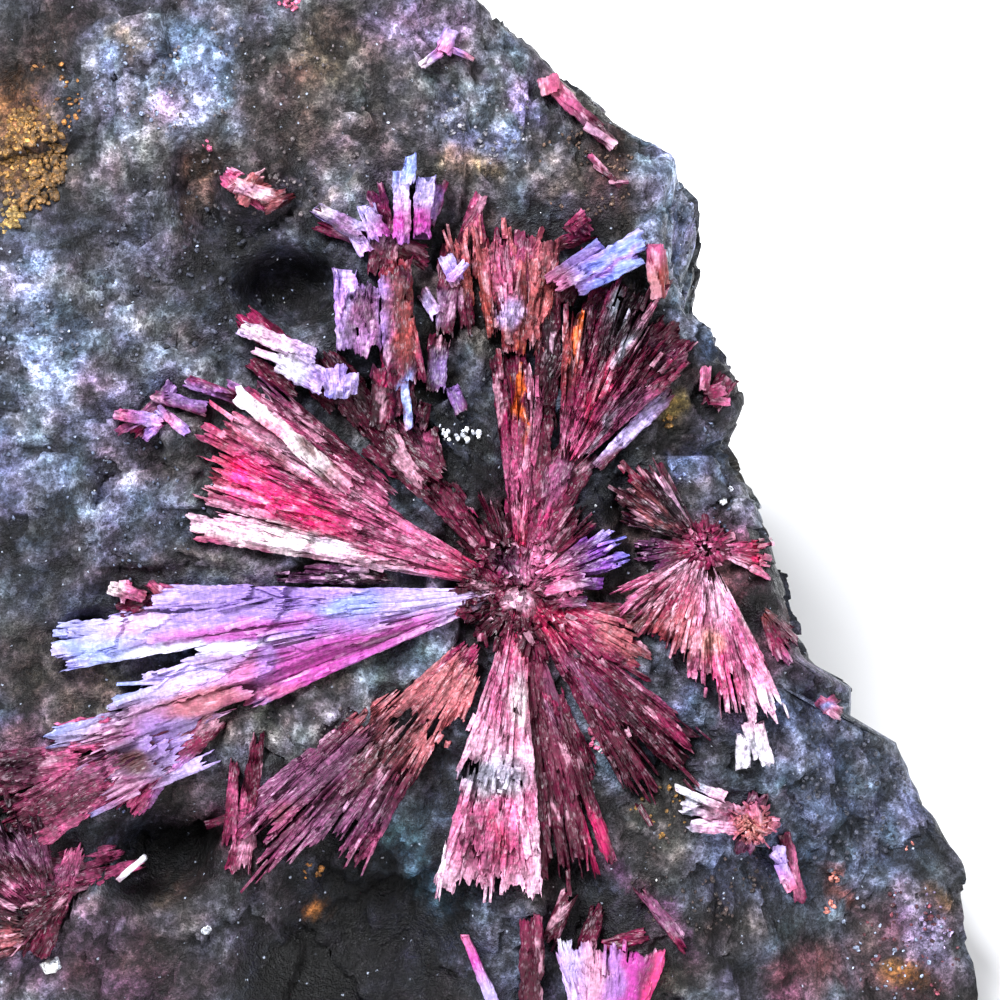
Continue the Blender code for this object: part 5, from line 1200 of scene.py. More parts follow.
    step=0.07, spread=0.30, gleam=0.06, stands_for=False)

# The side spray: a second, smaller spray at the right, dark above and pale pink below.
SIDE = (10.25, -2.35)
fan_piece("side_spray_upper", SIDE, [
    (118.0, 162.0, 0.6, 5.6, 14, 0.6, 1.1, 0.6, 1.6), (122.0, 158.0, 0.9, 6.0, 8, 0.9, 1.5, 0.4, 2.2)],
    ramp=[(0.4, "wine"), (1.2, "maroon"), (2.4, "ink"), (4.5, "maroon"), (6.0, "maroon")],
    stains=[(7.2, 0.2, 1.6, 0.18, -38, "salmon", 0.6), (7.6, -0.9, 1.4, 0.14, -28, "salmon", 0.5),
            (8.6, 0.2, 1.6, 0.25, -52, "ink", 0.8), (6.4, 1.6, 0.9, 0.4, -40, "ruby", 0.5)],
    step=0.05, spread=0.30, loose=30)
fan_piece("side_spray_left", SIDE, [
    (172.0, 204.0, 0.6, 3.8, 9, 0.6, 0.9, 0.5, 1.4)],
    ramp=[(0.4, "ruby"), (1.4, "wine"), (2.8, "plum"), (4.0, "mauve")], step=0.05, spread=0.30, loose=12)
fan_piece("side_spray_lower", SIDE, [
    (206.0, 262.0, 0.6, 5.6, 16, 0.5, 0.8, 0.6, 1.8), (230.0, 262.0, 0.9, 6.2, 9, 0.7, 1.0, 0.5, 1.4),
    (262.0, 280.0, 0.8, 7.7, 5, 0.9, 1.5, 0.7, 1.8), (276.0, 297.0, 0.9, 11.0, 6, 0.9, 1.8, 0.8, 3.4),
    (268.0, 292.0, 1.4, 8.6, 6, 1.3, 1.8, 0.5, 3.0), (279.0, 287.0, 8.4, 11.6, 3, 1.7, 1.9, 0.5, 0.6),
    (291.0, 297.0, 1.5, 7.2, 2, 1.2, 1.7, 0.4, 1.2)],
    ramp=[(0.4, "rose"), (1.4, "blush"), (3.0, "pink"), (5.0, "rose"), (7.0, "pink"), (9.0, "blush"),
          (11.6, "white")],
    stains=[
        (8.2, -6.0, 1.6, 2.2, -25, "rust", 0.85), (8.8, -4.6, 0.9, 1.3, -35, "crimson", 0.7),
        (7.4, -5.0, 1.0, 0.5, 40, "wine", 0.7), (7.0, -4.0, 1.4, 0.5, 30, "crimson", 0.75),
        (9.4, -7.0, 0.5, 1.6, -8, "salmon", 0.7), (10.6, -7.2, 0.7, 1.0, 0, "peach", 0.85),
        (10.8, -4.8, 0.5, 1.4, 8, "blush", 0.6), (12.2, -5.8, 0.3, 2.2, 27, "cream", 0.85),
        (11.2, -8.8, 0.7, 1.3, 10, "hot_pink", 0.45), (13.6, -10.2, 1.0, 0.35, -35, "white", 0.9),
        (12.2, -12.4, 1.0, 1.0, 0, "white", 0.85), (11.0, -10.2, 0.3, 0.8, 0, "coal", 0.6)],
    slot="pink_blades", step=0.07, spread=0.24, gleam=0.20, loose=50)
fan_piece("side_spray_right", SIDE, [
    (-28.0, 12.0, 0.6, 3.8, 9, 0.7, 0.9, 0.5, 1.4), (-20.0, 4.0, 1.0, 3.6, 5, 0.9, 1.1, 0.4, 1.4)],
    ramp=[(0.4, "blush"), (1.4, "rose"), (2.6, "ruby"), (3.6, "pink")],
    stains=[(12.2, -3.2, 1.2, 0.25, -15, "blush", 0.7)], slot="pink_blades", step=0.05, spread=0.28, loose=16)
needle_bed("side_hub", (0.9, 50, 0.7, 0.22, (0.7, 1.05)),
           ramp=[(0, "rose"), (0.8, "crimson"), (1.6, "wine")], middle=SIDE, rows=[
               (0.0, 360.0, 0.3, 2.0, 22, 0.8, 0.7, 0.5, 0.9)],
           step=0.04, spread=0.30, gleam=0.12, stands_for=False)
fan_piece("edge_patch", (12.9, -5.2), [
    (-74.0, -34.0, 0.3, 3.4, 7, 0.5, 0.7, 0.6, 0.9)],
    ramp=[(0.2, "rust"), (1.4, "wine"), (2.4, "crimson"), (3.5, "mauve")], step=0.05, loose=8)

# Single crystals above the spray: upright violet and lilac tablets with fibres across their faces.
group_piece("violet_tablets", [
    (-4.9, 12.5, -4.9, 17.0, 1.0, 1.1, 2.0, 2.6, 1.0, 0.9),
    (-3.9, 12.9, -3.7, 16.3, 1.0, 1.2, 1.9, 2.4, 0.9, 0.6),
    (-4.6, 15.4, -4.4, 17.4, 1.0, 0.6, 2.4, 2.7, 0.6, 0.7),
    (-6.2, 13.0, -9.6, 14.7, 1.3, 0.8, 1.6, 1.7, 0.8, 1.2),
    (-5.8, 12.7, -6.9, 15.0, 1.6, 0.9, 1.5, 1.9, 0.8, 0.9),
    (-6.6, 12.2, -7.4, 13.6, 1.0, 0.8, 1.4, 1.7, 0.6, 0.4)],
    ramp=[(0, "lilac"), (1.6, "magenta"), (3.0, "pale_lilac"), (4.6, "periwinkle"),
          (6.0, "mauve")], middle=(-4.3, 12.4),
    # The sky spot at -4.8, 16.6 is a painted reflection of a blue sky.
    stains=[(-4.6, 13.9, 1.1, 0.6, 0, "magenta", 0.85), (-4.8, 16.6, 0.9, 0.9, 0, "sky", 0.9),
            (-3.6, 15.2, 0.8, 0.7, 0, "pale_lilac", 0.75), (-9.0, 14.4, 1.0, 0.3, -25, "cream", 0.8),
            (-7.6, 13.6, 1.0, 0.5, -25, "mauve", 0.8), (-8.4, 13.6, 1.3, 0.25, -35, "maroon", 0.8),
            (-6.4, 12.9, 0.9, 0.6, 0, "lilac", 0.7)],
    slot="lilac_blades", step=0.07, spread=0.20, gleam=0.08)
group_piece("lilac_column", [
    (-7.6, 7.0, -7.7, 11.7, 1.3, 1.4, 2.0, 2.6, 1.2, 0.9),
    (-6.5, 7.0, -6.5, 11.5, 1.3, 1.3, 1.9, 2.5, 1.2, 1.2),
    (-6.9, 8.2, -6.9, 11.0, 1.0, 1.1, 2.2, 2.8, 0.6, 0.9),
    (-4.9, 5.4, -5.3, 12.0, 1.9, 1.7, 1.4, 2.2, 1.0, 1.0), (-4.0, 5.6, -4.6, 9.6, 1.0, 0.5, 1.2, 1.8, 1.0, 0.8),
    (-5.9, 3.4, -5.8, 7.0, 1.5, 1.5, 1.2, 1.9, 0.9, 0.7), (-4.5, 3.4, -4.8, 6.2, 0.5, 0.5, 1.8, 2.2, 0.6, 0.4)],
    ramp=[(0, "mauve"), (1.6, "lilac"), (2.6, "plum"), (5.0, "maroon")], middle=(-7.1, 9.6),
    stains=[(-7.2, 11.3, 1.3, 0.3, 0, "pale_lilac", 0.8), (-7.6, 9.4, 0.3, 1.8, 0, "pale_lilac", 0.7),
            (-6.4, 9.0, 0.35, 2.0, 0, "maroon", 0.7), (-7.0, 8.6, 0.9, 1.6, 0, "mauve", 0.7),
            (-4.9, 9.2, 0.9, 2.9, 5, "rust", 0.92),
            (-4.3, 6.2, 0.9, 1.2, 0, "wine", 0.8), (-5.8, 5.0, 0.9, 2.0, 0, "wine", 0.95),
            (-5.6, 5.2, 0.35, 1.2, 0, "raspberry", 0.6), (-4.6, 4.8, 0.3, 1.4, 0, "sky", 0.9)],
    slot="lilac_blades", step=0.06, spread=0.45, gleam=0.08)
group_piece("pale_tablets", [
    (-9.0, 7.0, -13.2, 8.8, 1.2, 0.9, 1.9, 2.0, 0.8, 0.6),
    (-9.4, 6.4, -12.6, 7.6, 0.5, 0.5, 1.7, 1.8, 0.7, 0.6),
    (-8.6, 5.7, -11.4, 7.2, 1.5, 1.5, 1.8, 2.1, 0.8, 0.6), (-8.3, 6.8, -8.1, 4.9, 1.7, 1.3, 1.7, 1.9, 0.8, 0.4),
    (-7.4, 6.4, -7.5, 5.0, 0.9, 0.9, 2.0, 2.1, 0.5, 0.4)],
    ramp=[(0, "lilac"), (2.0, "pale_lilac"), (4.0, "blush"), (5.5, "pale_lilac")], middle=(-8.2, 6.4),
    stains=[(-11.0, 8.0, 2.2, 0.3, -22, "mauve", 0.7), (-12.6, 8.5, 0.8, 0.4, -20, "cream", 0.7),
            (-10.6, 6.8, 0.9, 0.6, -20, "white", 0.75), (-9.4, 6.0, 0.5, 0.5, 0, "violet", 0.5),
            (-11.0, 7.5, 1.8, 0.2, -20, "maroon", 0.7), (-8.0, 5.2, 0.7, 0.4, -10, "periwinkle", 0.6)],
    slot="lilac_blades", step=0.08, spread=0.18, gleam=0.22)
group_piece("rock_lilac_crystal", [
    (-2.0, 10.6, -2.9, 12.4, 1.1, 0.9, 1.2, 1.4, 0.6, 0.5),
    (-2.6, 10.8, -1.6, 12.0, 0.6, 0.5, 1.3, 1.4, 0.4, 0.4)],
    ramp=[(0, "rust"), (0.8, "lilac"), (1.6, "pale_lilac"), (2.4, "mauve")], middle=(-2.2, 10.6),
    slot="lilac_blades", step=0.08, gleam=0.25)
group_piece("red_knot", [
    (3.4, 13.4, 4.4, 14.4, 0.8, 0.9, 1.2, 1.6, 0.7, 0.4), (3.2, 13.9, 4.0, 13.2, 0.7, 0.6, 1.2, 1.5, 0.6, 0.4),
    (4.6, 13.2, 3.6, 14.2, 0.6, 0.6, 1.3, 1.6, 0.6, 0.4)],
    ramp=[(0, "wine"), (0.6, "crimson"), (1.2, "pink")], middle=(3.9, 13.6), step=0.10, gleam=0.15)

# Crystals scattered over the upper rock and its rim: a red-brown lump, needles and small tufts.
group_piece("red_brown_lump", [
    (-13.6, 15.0, -11.4, 16.2, 1.4, 1.2, 0.9, 1.1, 0.7, 0.7),
    (-12.0, 14.6, -10.2, 15.3, 1.1, 0.8, 0.8, 0.9, 0.6, 0.6),
    (-13.4, 15.8, -11.0, 15.0, 0.9, 0.9, 1.1, 1.2, 0.5, 0.5),
    (-12.9, 14.6, -12.2, 16.4, 0.8, 0.7, 1.0, 1.2, 0.5, 0.4)],
    ramp=[(0, "rust"), (1.0, "salmon"), (1.6, "maroon"), (2.4, "rust")], middle=(-12.2, 15.4),
    stains=[(-11.8, 15.1, 0.4, 0.3, 0, "cream", 0.7), (-12.6, 15.5, 0.7, 0.3, 0, "mauve", 0.7)],
    step=0.10, spread=0.30, gleam=0.10)
group_piece("top_small_crystal", [
    (-2.9, 22.3, -2.4, 23.6, 1.0, 0.9, 0.9, 1.3, 0.6, 0.2),
    (-2.8, 22.5, -4.2, 21.5, 0.6, 0.5, 0.9, 0.9, 0.5, 0.5),
    (-2.6, 22.6, -1.2, 22.0, 0.4, 0.3, 0.9, 0.9, 0.4, 0.4)],
    ramp=[(0, "pink"), (0.8, "lilac"), (1.3, "lilac"), (1.8, "peach")], middle=(-2.8, 22.5),
    stains=[(-3.9, 21.8, 0.6, 0.4, 0, "cream", 0.8), (-1.6, 22.2, 0.6, 0.3, 0, "salmon", 0.7)],
    slot="lilac_blades", material=SATIN, step=0.04, gleam=0.12)
group_piece("rim_needles", [
    (5.8, 17.6, 2.2, 21.2, 0.8, 1.0, 0.8, 1.5, 0.8, 0.5), (2.6, 20.3, 2.3, 21.4, 1.2, 1.2, 1.4, 1.7, 0.8, 0.4),
    (5.2, 18.6, 2.9, 20.4, 0.5, 0.5, 1.0, 1.6, 0.6, 0.5), (5.9, 17.7, 4.2, 18.8, 0.4, 0.5, 0.9, 1.3, 0.5, 0.3)],
    ramp=[(0, "rust"), (1.4, "rose"), (3.0, "maroon"), (6.0, "wine")], middle=(2.4, 21.0),
    stains=[(2.4, 21.0, 0.7, 0.5, 0, "rose", 0.7), (5.8, 17.8, 0.3, 0.3, 0, "blush", 0.8),
            (4.6, 18.8, 1.0, 0.2, -45, "mauve", 0.7)], material=SATIN, step=0.06, gleam=0.10)
group_piece("rim_thin_needle", [
    (4.3, 17.4, 6.2, 15.5, 0.4, 0.3, 0.6, 0.6, 0.5, 0.4), (5.4, 15.9, 6.6, 15.9, 0.25, 0.2, 0.5, 0.6, 0.4, 0.3),
    (4.6, 16.8, 5.8, 16.0, 0.3, 0.3, 0.6, 0.7, 0.4, 0.3)],
    ramp=[(0, "rose"), (1.0, "wine"), (2.0, "maroon"), (3.0, "rose")], middle=(4.3, 17.4), step=0.05)
group_piece("rim_tuft", [
    (10.2, 5.2, 11.5, 5.7, 0.8, 0.9, 0.9, 1.1, 0.6, 0.4), (10.2, 5.3, 10.3, 6.9, 0.6, 0.6, 1.0, 1.1, 0.6, 0.5),
    (10.3, 5.0, 11.6, 4.9, 0.5, 0.5, 0.8, 1.0, 0.5, 0.4)],
    ramp=[(0, "maroon"), (0.7, "crimson"), (1.4, "pink")], middle=(10.2, 5.2), slot="pink_blades", step=0.06)
group_piece("rim_specimen", [
    (15.8, -9.9, 17.2, -10.9, 0.7, 1.0, 0.9, 1.1, 0.8, 0.4),
    (15.9, -10.6, 17.0, -9.8, 0.6, 0.7, 0.9, 1.2, 0.7, 0.4)],
    ramp=[(0, "maroon"), (0.7, "rose"), (1.2, "maroon")], middle=(16.0, -10.4),
    stains=[(16.3, -10.2, 0.4, 0.25, 0, "sky", 0.9),
            (17.2, -9.6, 0.5, 0.4, 0, "coal", 0.8)], step=0.08, gleam=0.15)

# The left side: pale and red crystals round the left fan's tip, and the cluster at the chunk's left edge.
group_piece("left_tip_cluster", [
    (-16.6, 3.9, -19.6, 4.3, 0.9, 0.7, 0.9, 1.2, 0.7, 0.9),
    (-16.9, 4.0, -18.0, 2.9, 0.7, 0.6, 1.0, 1.0, 0.6, 0.5),
    (-15.4, 3.2, -17.4, 4.9, 0.7, 0.6, 1.0, 1.3, 0.5, 0.6),
    (-17.6, 4.2, -19.4, 3.2, 0.5, 0.5, 1.0, 1.1, 0.5, 0.5)],
    ramp=[(0, "pink"), (1.0, "lilac"), (2.4, "rose"), (3.4, "lilac")], middle=(-16.6, 3.9),
    stains=[(-18.6, 4.0, 0.7, 0.4, 0, "crimson", 0.5), (-17.2, 4.4, 0.6, 0.3, -40, "pale_lilac", 0.8)],
    slot="lilac_blades", step=0.08, gleam=0.20)
group_piece("left_tip_crystals", [
    (-17.6, -4.9, -19.7, -4.3, 0.8, 0.8, 1.3, 1.5, 0.8, 0.4),
    (-18.6, -5.2, -18.7, -3.9, 0.8, 0.7, 1.3, 1.4, 0.6, 0.4),
    (-16.6, -5.0, -17.6, -4.0, 0.7, 0.6, 1.2, 1.4, 0.6, 0.4),
    (-15.4, -4.6, -17.2, -4.2, 0.3, 0.3, 0.9, 1.1, 0.5, 0.3)],
    ramp=[(0, "rust"), (0.8, "rose"), (1.4, "pink"), (2.4, "cream")], middle=(-17.3, -4.8),
    stains=[(-19.2, -4.4, 0.5, 0.5, 0, "cream", 0.85), (-16.0, -4.3, 0.7, 0.3, 0, "ink", 0.8)],
    slot="pink_blades", step=0.08, gleam=0.18)
fan_piece("left_edge_cluster", (-22.0, -21.5), [
    (98.0, 150.0, 0.5, 8.6, 9, 0.5, 1.5, 1.0, 3.4), (150.0, 205.0, 0.5, 6.8, 8, 0.6, 1.3, 0.9, 2.4),
    (104.0, 146.0, 2.0, 7.6, 5, 1.0, 1.8, 0.5, 3.0), (152.0, 196.0, 1.6, 6.0, 5, 1.0, 1.6, 0.5, 2.6)],
    ramp=[(0.4, "maroon"), (2.0, "ink"), (3.6, "maroon"), (6.0, "ink"), (8.4, "ink")],
    stains=[(-23.4, -14.0, 1.6, 1.6, 0, "maroon", 0.8), (-23.5, -17.4, 1.4, 0.7, 0, "mauve", 0.5),
            (-23.8, -19.6, 1.3, 0.6, 20, "rose", 0.7), (-22.2, -20.8, 0.6, 0.7, 0, "rose", 0.6),
            (-24.5, -22.0, 1.2, 0.7, 0, "salmon", 0.4)], step=0.08, spread=0.22, gleam=0.05, loose=30)

# Lower right: a pale tuft with a salmon ball of fibres at its end, and a string of lilac and pink beads.
group_piece("lower_right_tuft", [
    (12.4, -15.9, 8.6, -14.9, 1.3, 1.2, 1.0, 1.3, 0.7, 0.9),
    (12.8, -16.8, 12.2, -15.0, 1.5, 1.5, 1.0, 1.5, 0.9, 0.5),
    (12.0, -16.4, 9.2, -16.2, 0.8, 0.7, 1.1, 1.2, 0.6, 0.8),
    (11.2, -15.4, 8.4, -14.2, 0.5, 0.4, 1.4, 1.6, 0.4, 0.6),
    (11.6, -14.9, 9.6, -14.2, 0.7, 0.5, 1.0, 1.2, 0.5, 0.6)],
    ramp=[(0, "salmon"), (1.4, "pink"), (2.4, "blush"), (3.4, "steel"), (5.0, "cream")], middle=(12.8, -16.2),
    stains=[(10.2, -15.2, 1.2, 0.3, -15, "coal", 0.6), (9.4, -14.6, 1.0, 0.3, -20, "white", 0.8),
            (10.6, -16.4, 1.2, 0.5, 0, "mauve", 0.6), (8.5, -15.6, 0.5, 0.8, 0, "wine", 0.8)],
    slot="pink_blades", step=0.10, spread=0.22, gleam=0.28)
needle_bed("salmon_ball", (0.9, 150, 0.7, 0.20, (1.0, 1.8)),
           ramp=[(0, "peach"), (0.8, "salmon"), (1.6, "pink"), (2.2, "rose")], middle=(12.6, -16.2),
           slot="pink_blades", step=0.04, spread=0.2, gleam=0.12, stands_for=False)
group_piece("lilac_beads", [
    (13.9, -17.2, 14.1, -18.5, 0.8, 0.8, 0.8, 0.9, 0.5, 0.3),
    (14.0, -18.1, 14.7, -19.7, 0.8, 0.8, 0.9, 1.0, 0.5, 0.3),
    (13.6, -17.6, 14.4, -18.3, 0.6, 0.5, 0.9, 1.1, 0.5, 0.2),
    (14.5, -18.6, 14.2, -19.3, 0.7, 0.5, 0.9, 1.1, 0.5, 0.2)],
    ramp=[(0, "pale_lilac"), (1.4, "lilac"), (2.4, "pink"), (3.2, "hot_pink")], middle=(13.9, -17.0),
    slot="lilac_blades", material=SATIN, step=0.08, gleam=0.22)
group_piece("cavity_needle", [
    (-19.2, -19.1, -17.7, -17.8, 0.35, 0.4, 2.6, 3.6, 0.4, 0.3)],
    ramp=[(0, "rose"), (0.8, "white"),
          (2.4, "white")], middle=(-19.3, -19.2), slot="pink_blades", material=SATIN,
    step=0.03, spread=0.05)

# Bottom edge: one large bright crystal, pale lilac to hot pink, with a magenta blade and a dark one beside it.
fan_piece("bottom_crystal", (5.3, -30.6), [
    (70.0, 108.0, 1.6, 9.1, 6, 1.2, 1.8, 1.2, 0.9), (72.0, 106.0, 4.0, 8.8, 5, 1.5, 2.0, 0.6, 1.6)],
    ramp=[(1.0, "crimson"), (3.0, "magenta"), (6.0, "magenta"), (9.2, "pink")],
    stains=[(3.4, -23.0, 0.9, 3.0, 5, "pale_lilac", 0.92), (4.6, -23.4, 0.7, 3.0, 0, "blush", 0.8),
            (5.6, -23.6, 0.5, 3.0, -4, "lilac", 0.7), (6.5, -24.0, 0.60, 3.2, -10, "magenta", 0.96),
            # The hot pink spot at 7.9, -24.4 is the crystal's pink brightened by a painted glow of light through
            # it.
            (7.2, -24.2, 0.5, 2.6, -14, "wine", 0.8), (7.9, -24.4, 0.7, 3.0, -14, "hot_pink", 0.75),
            (3.0, -21.8, 0.5, 0.7, 0, "white", 0.8)],
    slot="pink_blades", material=SATIN, step=0.03, spread=0.06, gleam=0.04, loose=6)
group_piece("bottom_dark_blade", [
    (1.6, -26.5, 1.4, -20.6, 1.4, 1.1, 1.3, 1.5, 0.9, 0.8),
    (2.0, -24.0, 1.9, -20.2, 0.6, 0.5, 1.4, 1.7, 0.6, 0.8)],
    ramp=[(0, "wine"), (3.0, "maroon"), (6.0, "crimson")], middle=(1.6, -26.5), material=SATIN, step=0.05)
group_piece("bottom_small_blade", [
    (0.0, -25.8, -1.9, -21.6, 0.8, 0.5, 1.3, 2.0, 0.6, 0.4)],
    ramp=[(0, "lilac"), (1.5, "pale_lilac"), (3.0, "magenta"), (4.6, "pink")], middle=(0.0, -25.8),
    slot="lilac_blades", material=SATIN, step=0.03, spread=0.10)

# Grains loose on the rock's face: crusts of small angular lumps, each with a dozen faces, set half into it.
def grains(name, spots, material, flat=0.6):
    """Angular grains in rows of middle u, v, half width, half height, count, size, colour: one closed mesh."""
    rng = np.random.default_rng(sum(name.encode()))
    turn = np.arange(6) * math.pi / 3
    base = np.stack([np.cos(turn), np.sin(turn), np.full(6, -0.3)], axis=1)
    crown = np.stack([np.cos(turn + 0.5) * 0.6, np.sin(turn + 0.5) * 0.6, np.full(6, 0.75)], axis=1)
    unit = np.concatenate([base, crown])
    around, after = np.arange(6), (np.arange(6) + 1) % 6
    sides = np.concatenate([np.stack([around, after, around + 6], axis=1),
                            np.stack([after, after + 6, around + 6], axis=1)])
    caps = np.array([around[::-1], around + 6])
    points, colours, rims, ends = [], [], [], []
    total = 0
    for at_u, at_v, half_u, half_v, count, size, colour in spots:
        swing, reach = rng.uniform(0, 2 * math.pi, count), np.sqrt(rng.uniform(0, 1, count))
        u, v = at_u + half_u * reach * np.cos(swing), at_v + half_v * reach * np.sin(swing)
        away_u, away_v = u - MIDDLE[0], v - MIDDLE[1]
        inside = np.hypot(away_u, away_v) < GRAIN_REACH * outline_radius(np.arctan2(away_v, away_u))
        u, v, count = u[inside], v[inside], int(inside.sum())
        own = size * rng.uniform(0.5, 1.4, count)
        stretch = rng.uniform(0.6, 1.4, (count, 1, 3)) * np.array([1, 1, flat])
        bumps = 1 + rng.uniform(-0.25, 0.25, (count, 12, 1))
        around_z = rng.uniform(0, 2 * math.pi, count)
        shape = unit * bumps * stretch * own[:, None, None]
        c, s = np.cos(around_z)[:, None], np.sin(around_z)[:, None]
        lean = rng.normal(0, 0.25, (count, 1, 2))
        x, y = shape[..., 0] * c - shape[..., 1] * s, shape[..., 0] * s + shape[..., 1] * c
        z = shape[..., 2] + x * lean[..., 0] + y * lean[..., 1] + face_height(u, v)[:, None] - 0.02
        points.append(np.stack([x + u[:, None], y + v[:, None], z], axis=-1).reshape(-1, 3))
        tint = GRAIN_COLOURS[colour] * np.exp(rng.normal(0, 0.32, (count, 1)))
        colours.append(np.repeat(tint, 12, axis=0))
        first = (total + np.arange(count) * 12)[:, None, None]
        rims.append((sides + first).reshape(-1, 3))
        ends.append((caps + first).reshape(-1, 6))
        total += 12 * count
    piece = put_mesh(name, to_world(np.concatenate(points)), [np.concatenate(rims), np.concatenate(ends)],
                     np.clip(np.concatenate(colours), 0.003, 0.95))
    piece.data.materials.append(material)
    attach(piece, "root")
    return piece


GRAIN_COLOURS = STONE | {
    "gold": srgb(150, 110, 56), "white": srgb(226, 230, 244), "pink": srgb(196, 96, 130),
    "peach": srgb(206, 124, 112), "limonite": srgb(116, 84, 46),
}
GRAIN_REACH = 0.93
GRAIN_STONE = stone_material("grain_stone", 2.2, 0.42, 0.08, (0.6, 0.6, 0.66), 0.5)
grains("limonite_grains", [
    (-23.6, 17.0, 2.0, 2.6, 460, 0.15, "limonite"), (-24.2, 17.4, 1.6, 1.9, 180, 0.13, "gold"),
    (-22.6, 20.0, 1.8, 2.0, 70, 0.09, "rust"),
    (-24.6, 14.2, 0.9, 0.9, 40, 0.17, "ochre")], GRAIN_STONE)
grains("quartz_grains", [
    (-16.8, 20.8, 3.6, 2.6, 130, 0.08, "mist"), (-23.4, 8.6, 2.4, 3.6, 110, 0.08, "ash"),
    (-24.2, 2.0, 2.4, 3.0, 70, 0.08, "steel"), (-18.4, -0.6, 3.6, 3.6, 90, 0.08, "steel"),
    (-12.0, 19.0, 6.0, 5.0, 230, 0.10, "taupe"), (-1.4, 19.0, 3.2, 2.0, 90, 0.10, "sage"),
    (8.8, 14.4, 1.2, 4.4, 70, 0.08, "ash"), (-16.5, 11.0, 4.5, 5.0, 200, 0.12, "slate"),
    (4.2, 16.4, 2.6, 2.2, 110, 0.09, "brown"), (17.6, -14.0, 3.0, 5.0, 230, 0.10, "slate"),
    # The lavender grains at 21.6, -21.6 are tinted as a painted glint.
    (20.6, -22.4, 2.6, 2.8, 90, 0.09, "wine"), (21.6, -21.6, 1.2, 2.0, 30, 0.09, "lavender"),
    (-8.6, -11.4, 4.6, 1.6, 90, 0.09, "taupe"), (10.0, -19.0, 3.6, 2.6, 130, 0.09, "umber"),
    (-1.9, 2.6, 2.6, 2.2, 90, 0.09, "night"), (11.0, 1.0, 1.6, 3.0, 70, 0.09, "steel")], GRAIN_STONE)
grains("bright_grains", [
    (-2.0, 3.4, 1.6, 0.5, 26, 0.10, "white"), (11.1, 0.4, 0.5, 0.5, 9, 0.16, "white"),
    (8.5, 4.0, 0.4, 0.3, 6, 0.16, "gold"),
    (9.0, 1.6, 0.5, 0.4, 8, 0.16, "blue"), (-14.75, -21.4, 0.25, 0.2, 3, 0.34, "white"),
    (-22.2, -23.3, 0.25, 0.2, 3, 0.36, "white"), (-22.7, -15.4, 0.4, 0.2, 5, 0.16, "gold"),
    (-19.0, -15.4, 0.3, 0.3, 5, 0.16, "blue"), (16.75, -19.0, 0.3, 0.3, 7, 0.14, "peach"),
    (16.5, -20.5, 0.3, 0.3, 6, 0.14, "peach"), (20.75, -17.5, 0.3, 0.3, 5, 0.12, "peach"),
    (5.2, -11.9, 0.9, 0.7, 26, 0.17, "pink"), (5.4, -12.2, 0.7, 0.4, 9, 0.15, "white"),
    (8.0, -15.6, 1.6, 1.4, 26, 0.11, "gold"), (-9.6, -18.6, 0.7, 0.4, 8, 0.14, "rust"),
    (-14.7, 17.8, 0.3, 0.3, 6, 0.13, "pink"), (-10.4, 24.8, 0.8, 0.3, 12, 0.16, "pink"),
    (19.8, -22.0, 3.0, 3.0, 40, 0.10, "quartz"), (0.0, 0.0, 22.0, 22.0, 60, 0.05, "white"),
    (-15.0, 8.0, 9.0, 12.0, 50, 0.06, "quartz"),
    (12.0, -12.0, 9.0, 10.0, 24, 0.05, "quartz")], GRAIN_STONE,
    flat=0.8)

# The floor: a plain pale table top that the chunk stands on.
FLOOR_SIZE = 3.0
FLOOR_COLOUR = (0.93, 0.93, 0.94)


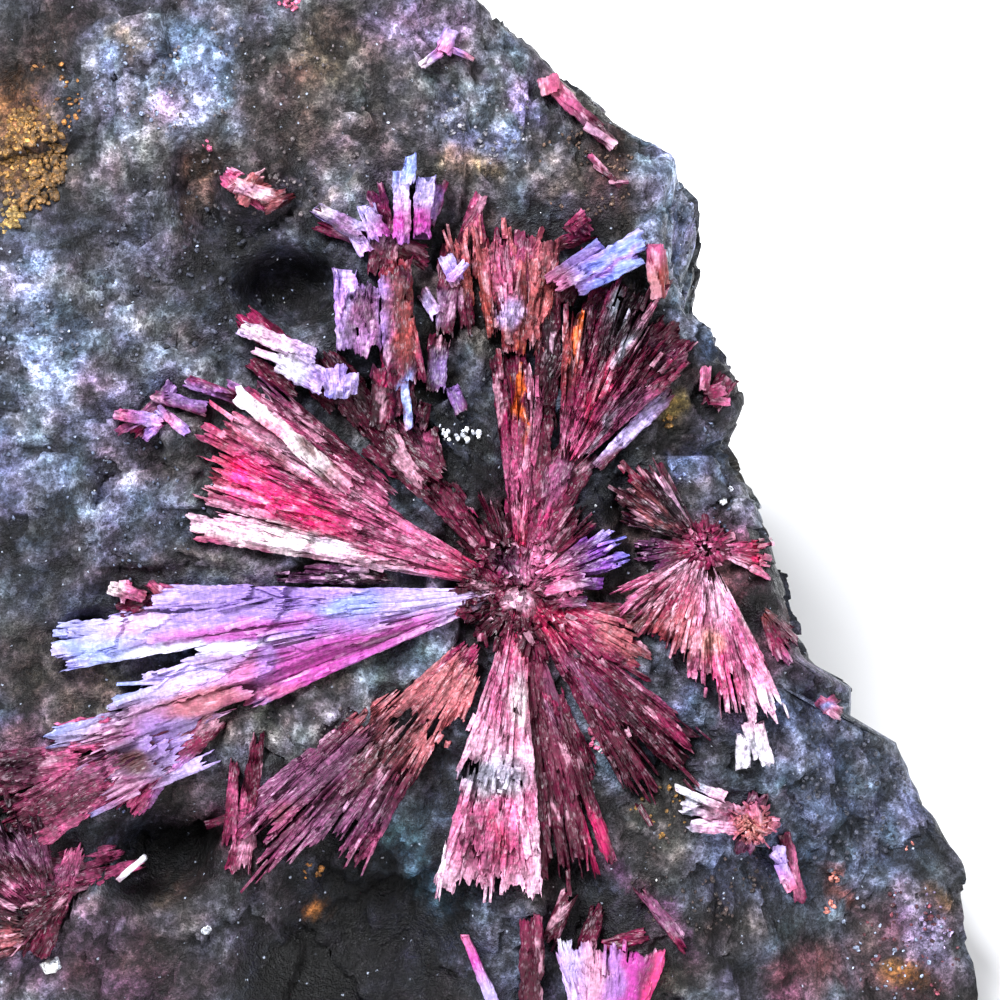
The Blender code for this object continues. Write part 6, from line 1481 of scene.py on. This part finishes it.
def floor_material():
    """Matt pale board with a very faint cloudiness."""
    material = bpy.data.materials.new("pale_board")
    material.use_nodes = True
    tree = material.node_tree
    shader = tree.nodes["Principled BSDF"]
    shader.inputs["Roughness"].default_value = 0.8
    shader.inputs["Specular IOR Level"].default_value = 0.2
    place = new_node(tree, "ShaderNodeTexCoord")
    cloud = new_node(tree, "ShaderNodeTexNoise", Scale=6.0)
    tree.links.new(place.outputs["Object"], cloud.inputs["Vector"])
    tree.links.new(mix_colour(tree, "MIX", ramp_between(tree, cloud.outputs["Fac"], 0.3, 0.7), FLOOR_COLOUR,
                              (0.95, 0.95, 0.955)), shader.inputs["Base Color"])
    return material


corners = np.array([(-1, -1, 0), (1, -1, 0), (1, 1, 0), (-1, 1, 0)]) * FLOOR_SIZE / 2
floor = put_mesh("floor", corners - np.array([0, 0, 0.0002]), [np.array([[0, 1, 2, 3]])])
floor.data.materials.append(floor_material())

# Light: a bright overcast sky all round, a cool soft window above and to the left, a weak fill at the right.
LOOK_AT = to_world((0.0, 0.0, 0.0))


def soft_light(name, direction, distance, size, power, colour):
    """A square soft light aimed at the middle of the photographed field, from a direction in the face's frame."""
    lamp = bpy.data.lights.new(name, "AREA")
    lamp.size, lamp.energy, lamp.color = size, power, colour
    light = bpy.data.objects.new(name, lamp)
    bpy.context.scene.collection.objects.link(light)
    away = to_world(np.array(direction, float)) - to_world((0.0, 0.0, 0.0))
    away = away / np.linalg.norm(away)
    light.location = LOOK_AT + away * distance
    light.rotation_euler = Vector(-away).to_track_quat("-Z", "Y").to_euler()
    return light


soft_light("window", (-0.50, 0.75, 0.95), 0.55, 0.26, 7.0, (0.94, 0.96, 1.0))
soft_light("fill", (0.8, 0.1, 0.9), 0.60, 0.40, 1.6, (1.0, 0.97, 0.95))
world = bpy.data.worlds.new("overcast")
bpy.context.scene.world = world
world.use_nodes = True
sky = world.node_tree.nodes["Background"]
sky.inputs["Color"].default_value = (0.93, 0.96, 1.0, 1.0)
sky.inputs["Strength"].default_value = 0.62

# Camera: straight at the crystal face through a long lens, so that the field there is FIELD wide.
FIELD = 0.050
CAMERA_AWAY = 0.45
SENSOR = 36.0
camera = bpy.data.objects.new("camera", bpy.data.cameras.new("camera"))
bpy.context.scene.collection.objects.link(camera)
camera.data.sensor_width = SENSOR
camera.data.lens = SENSOR * CAMERA_AWAY / FIELD
camera.location = to_world((0.0, 0.0, CAMERA_AWAY / MM))
camera.rotation_euler = (math.pi / 2 - FACE_TILT, 0.0, 0.0)
camera.data.clip_start, camera.data.clip_end = 0.01, 10.0
bpy.context.scene.camera = camera
bpy.context.scene.view_settings.view_transform = "Standard"
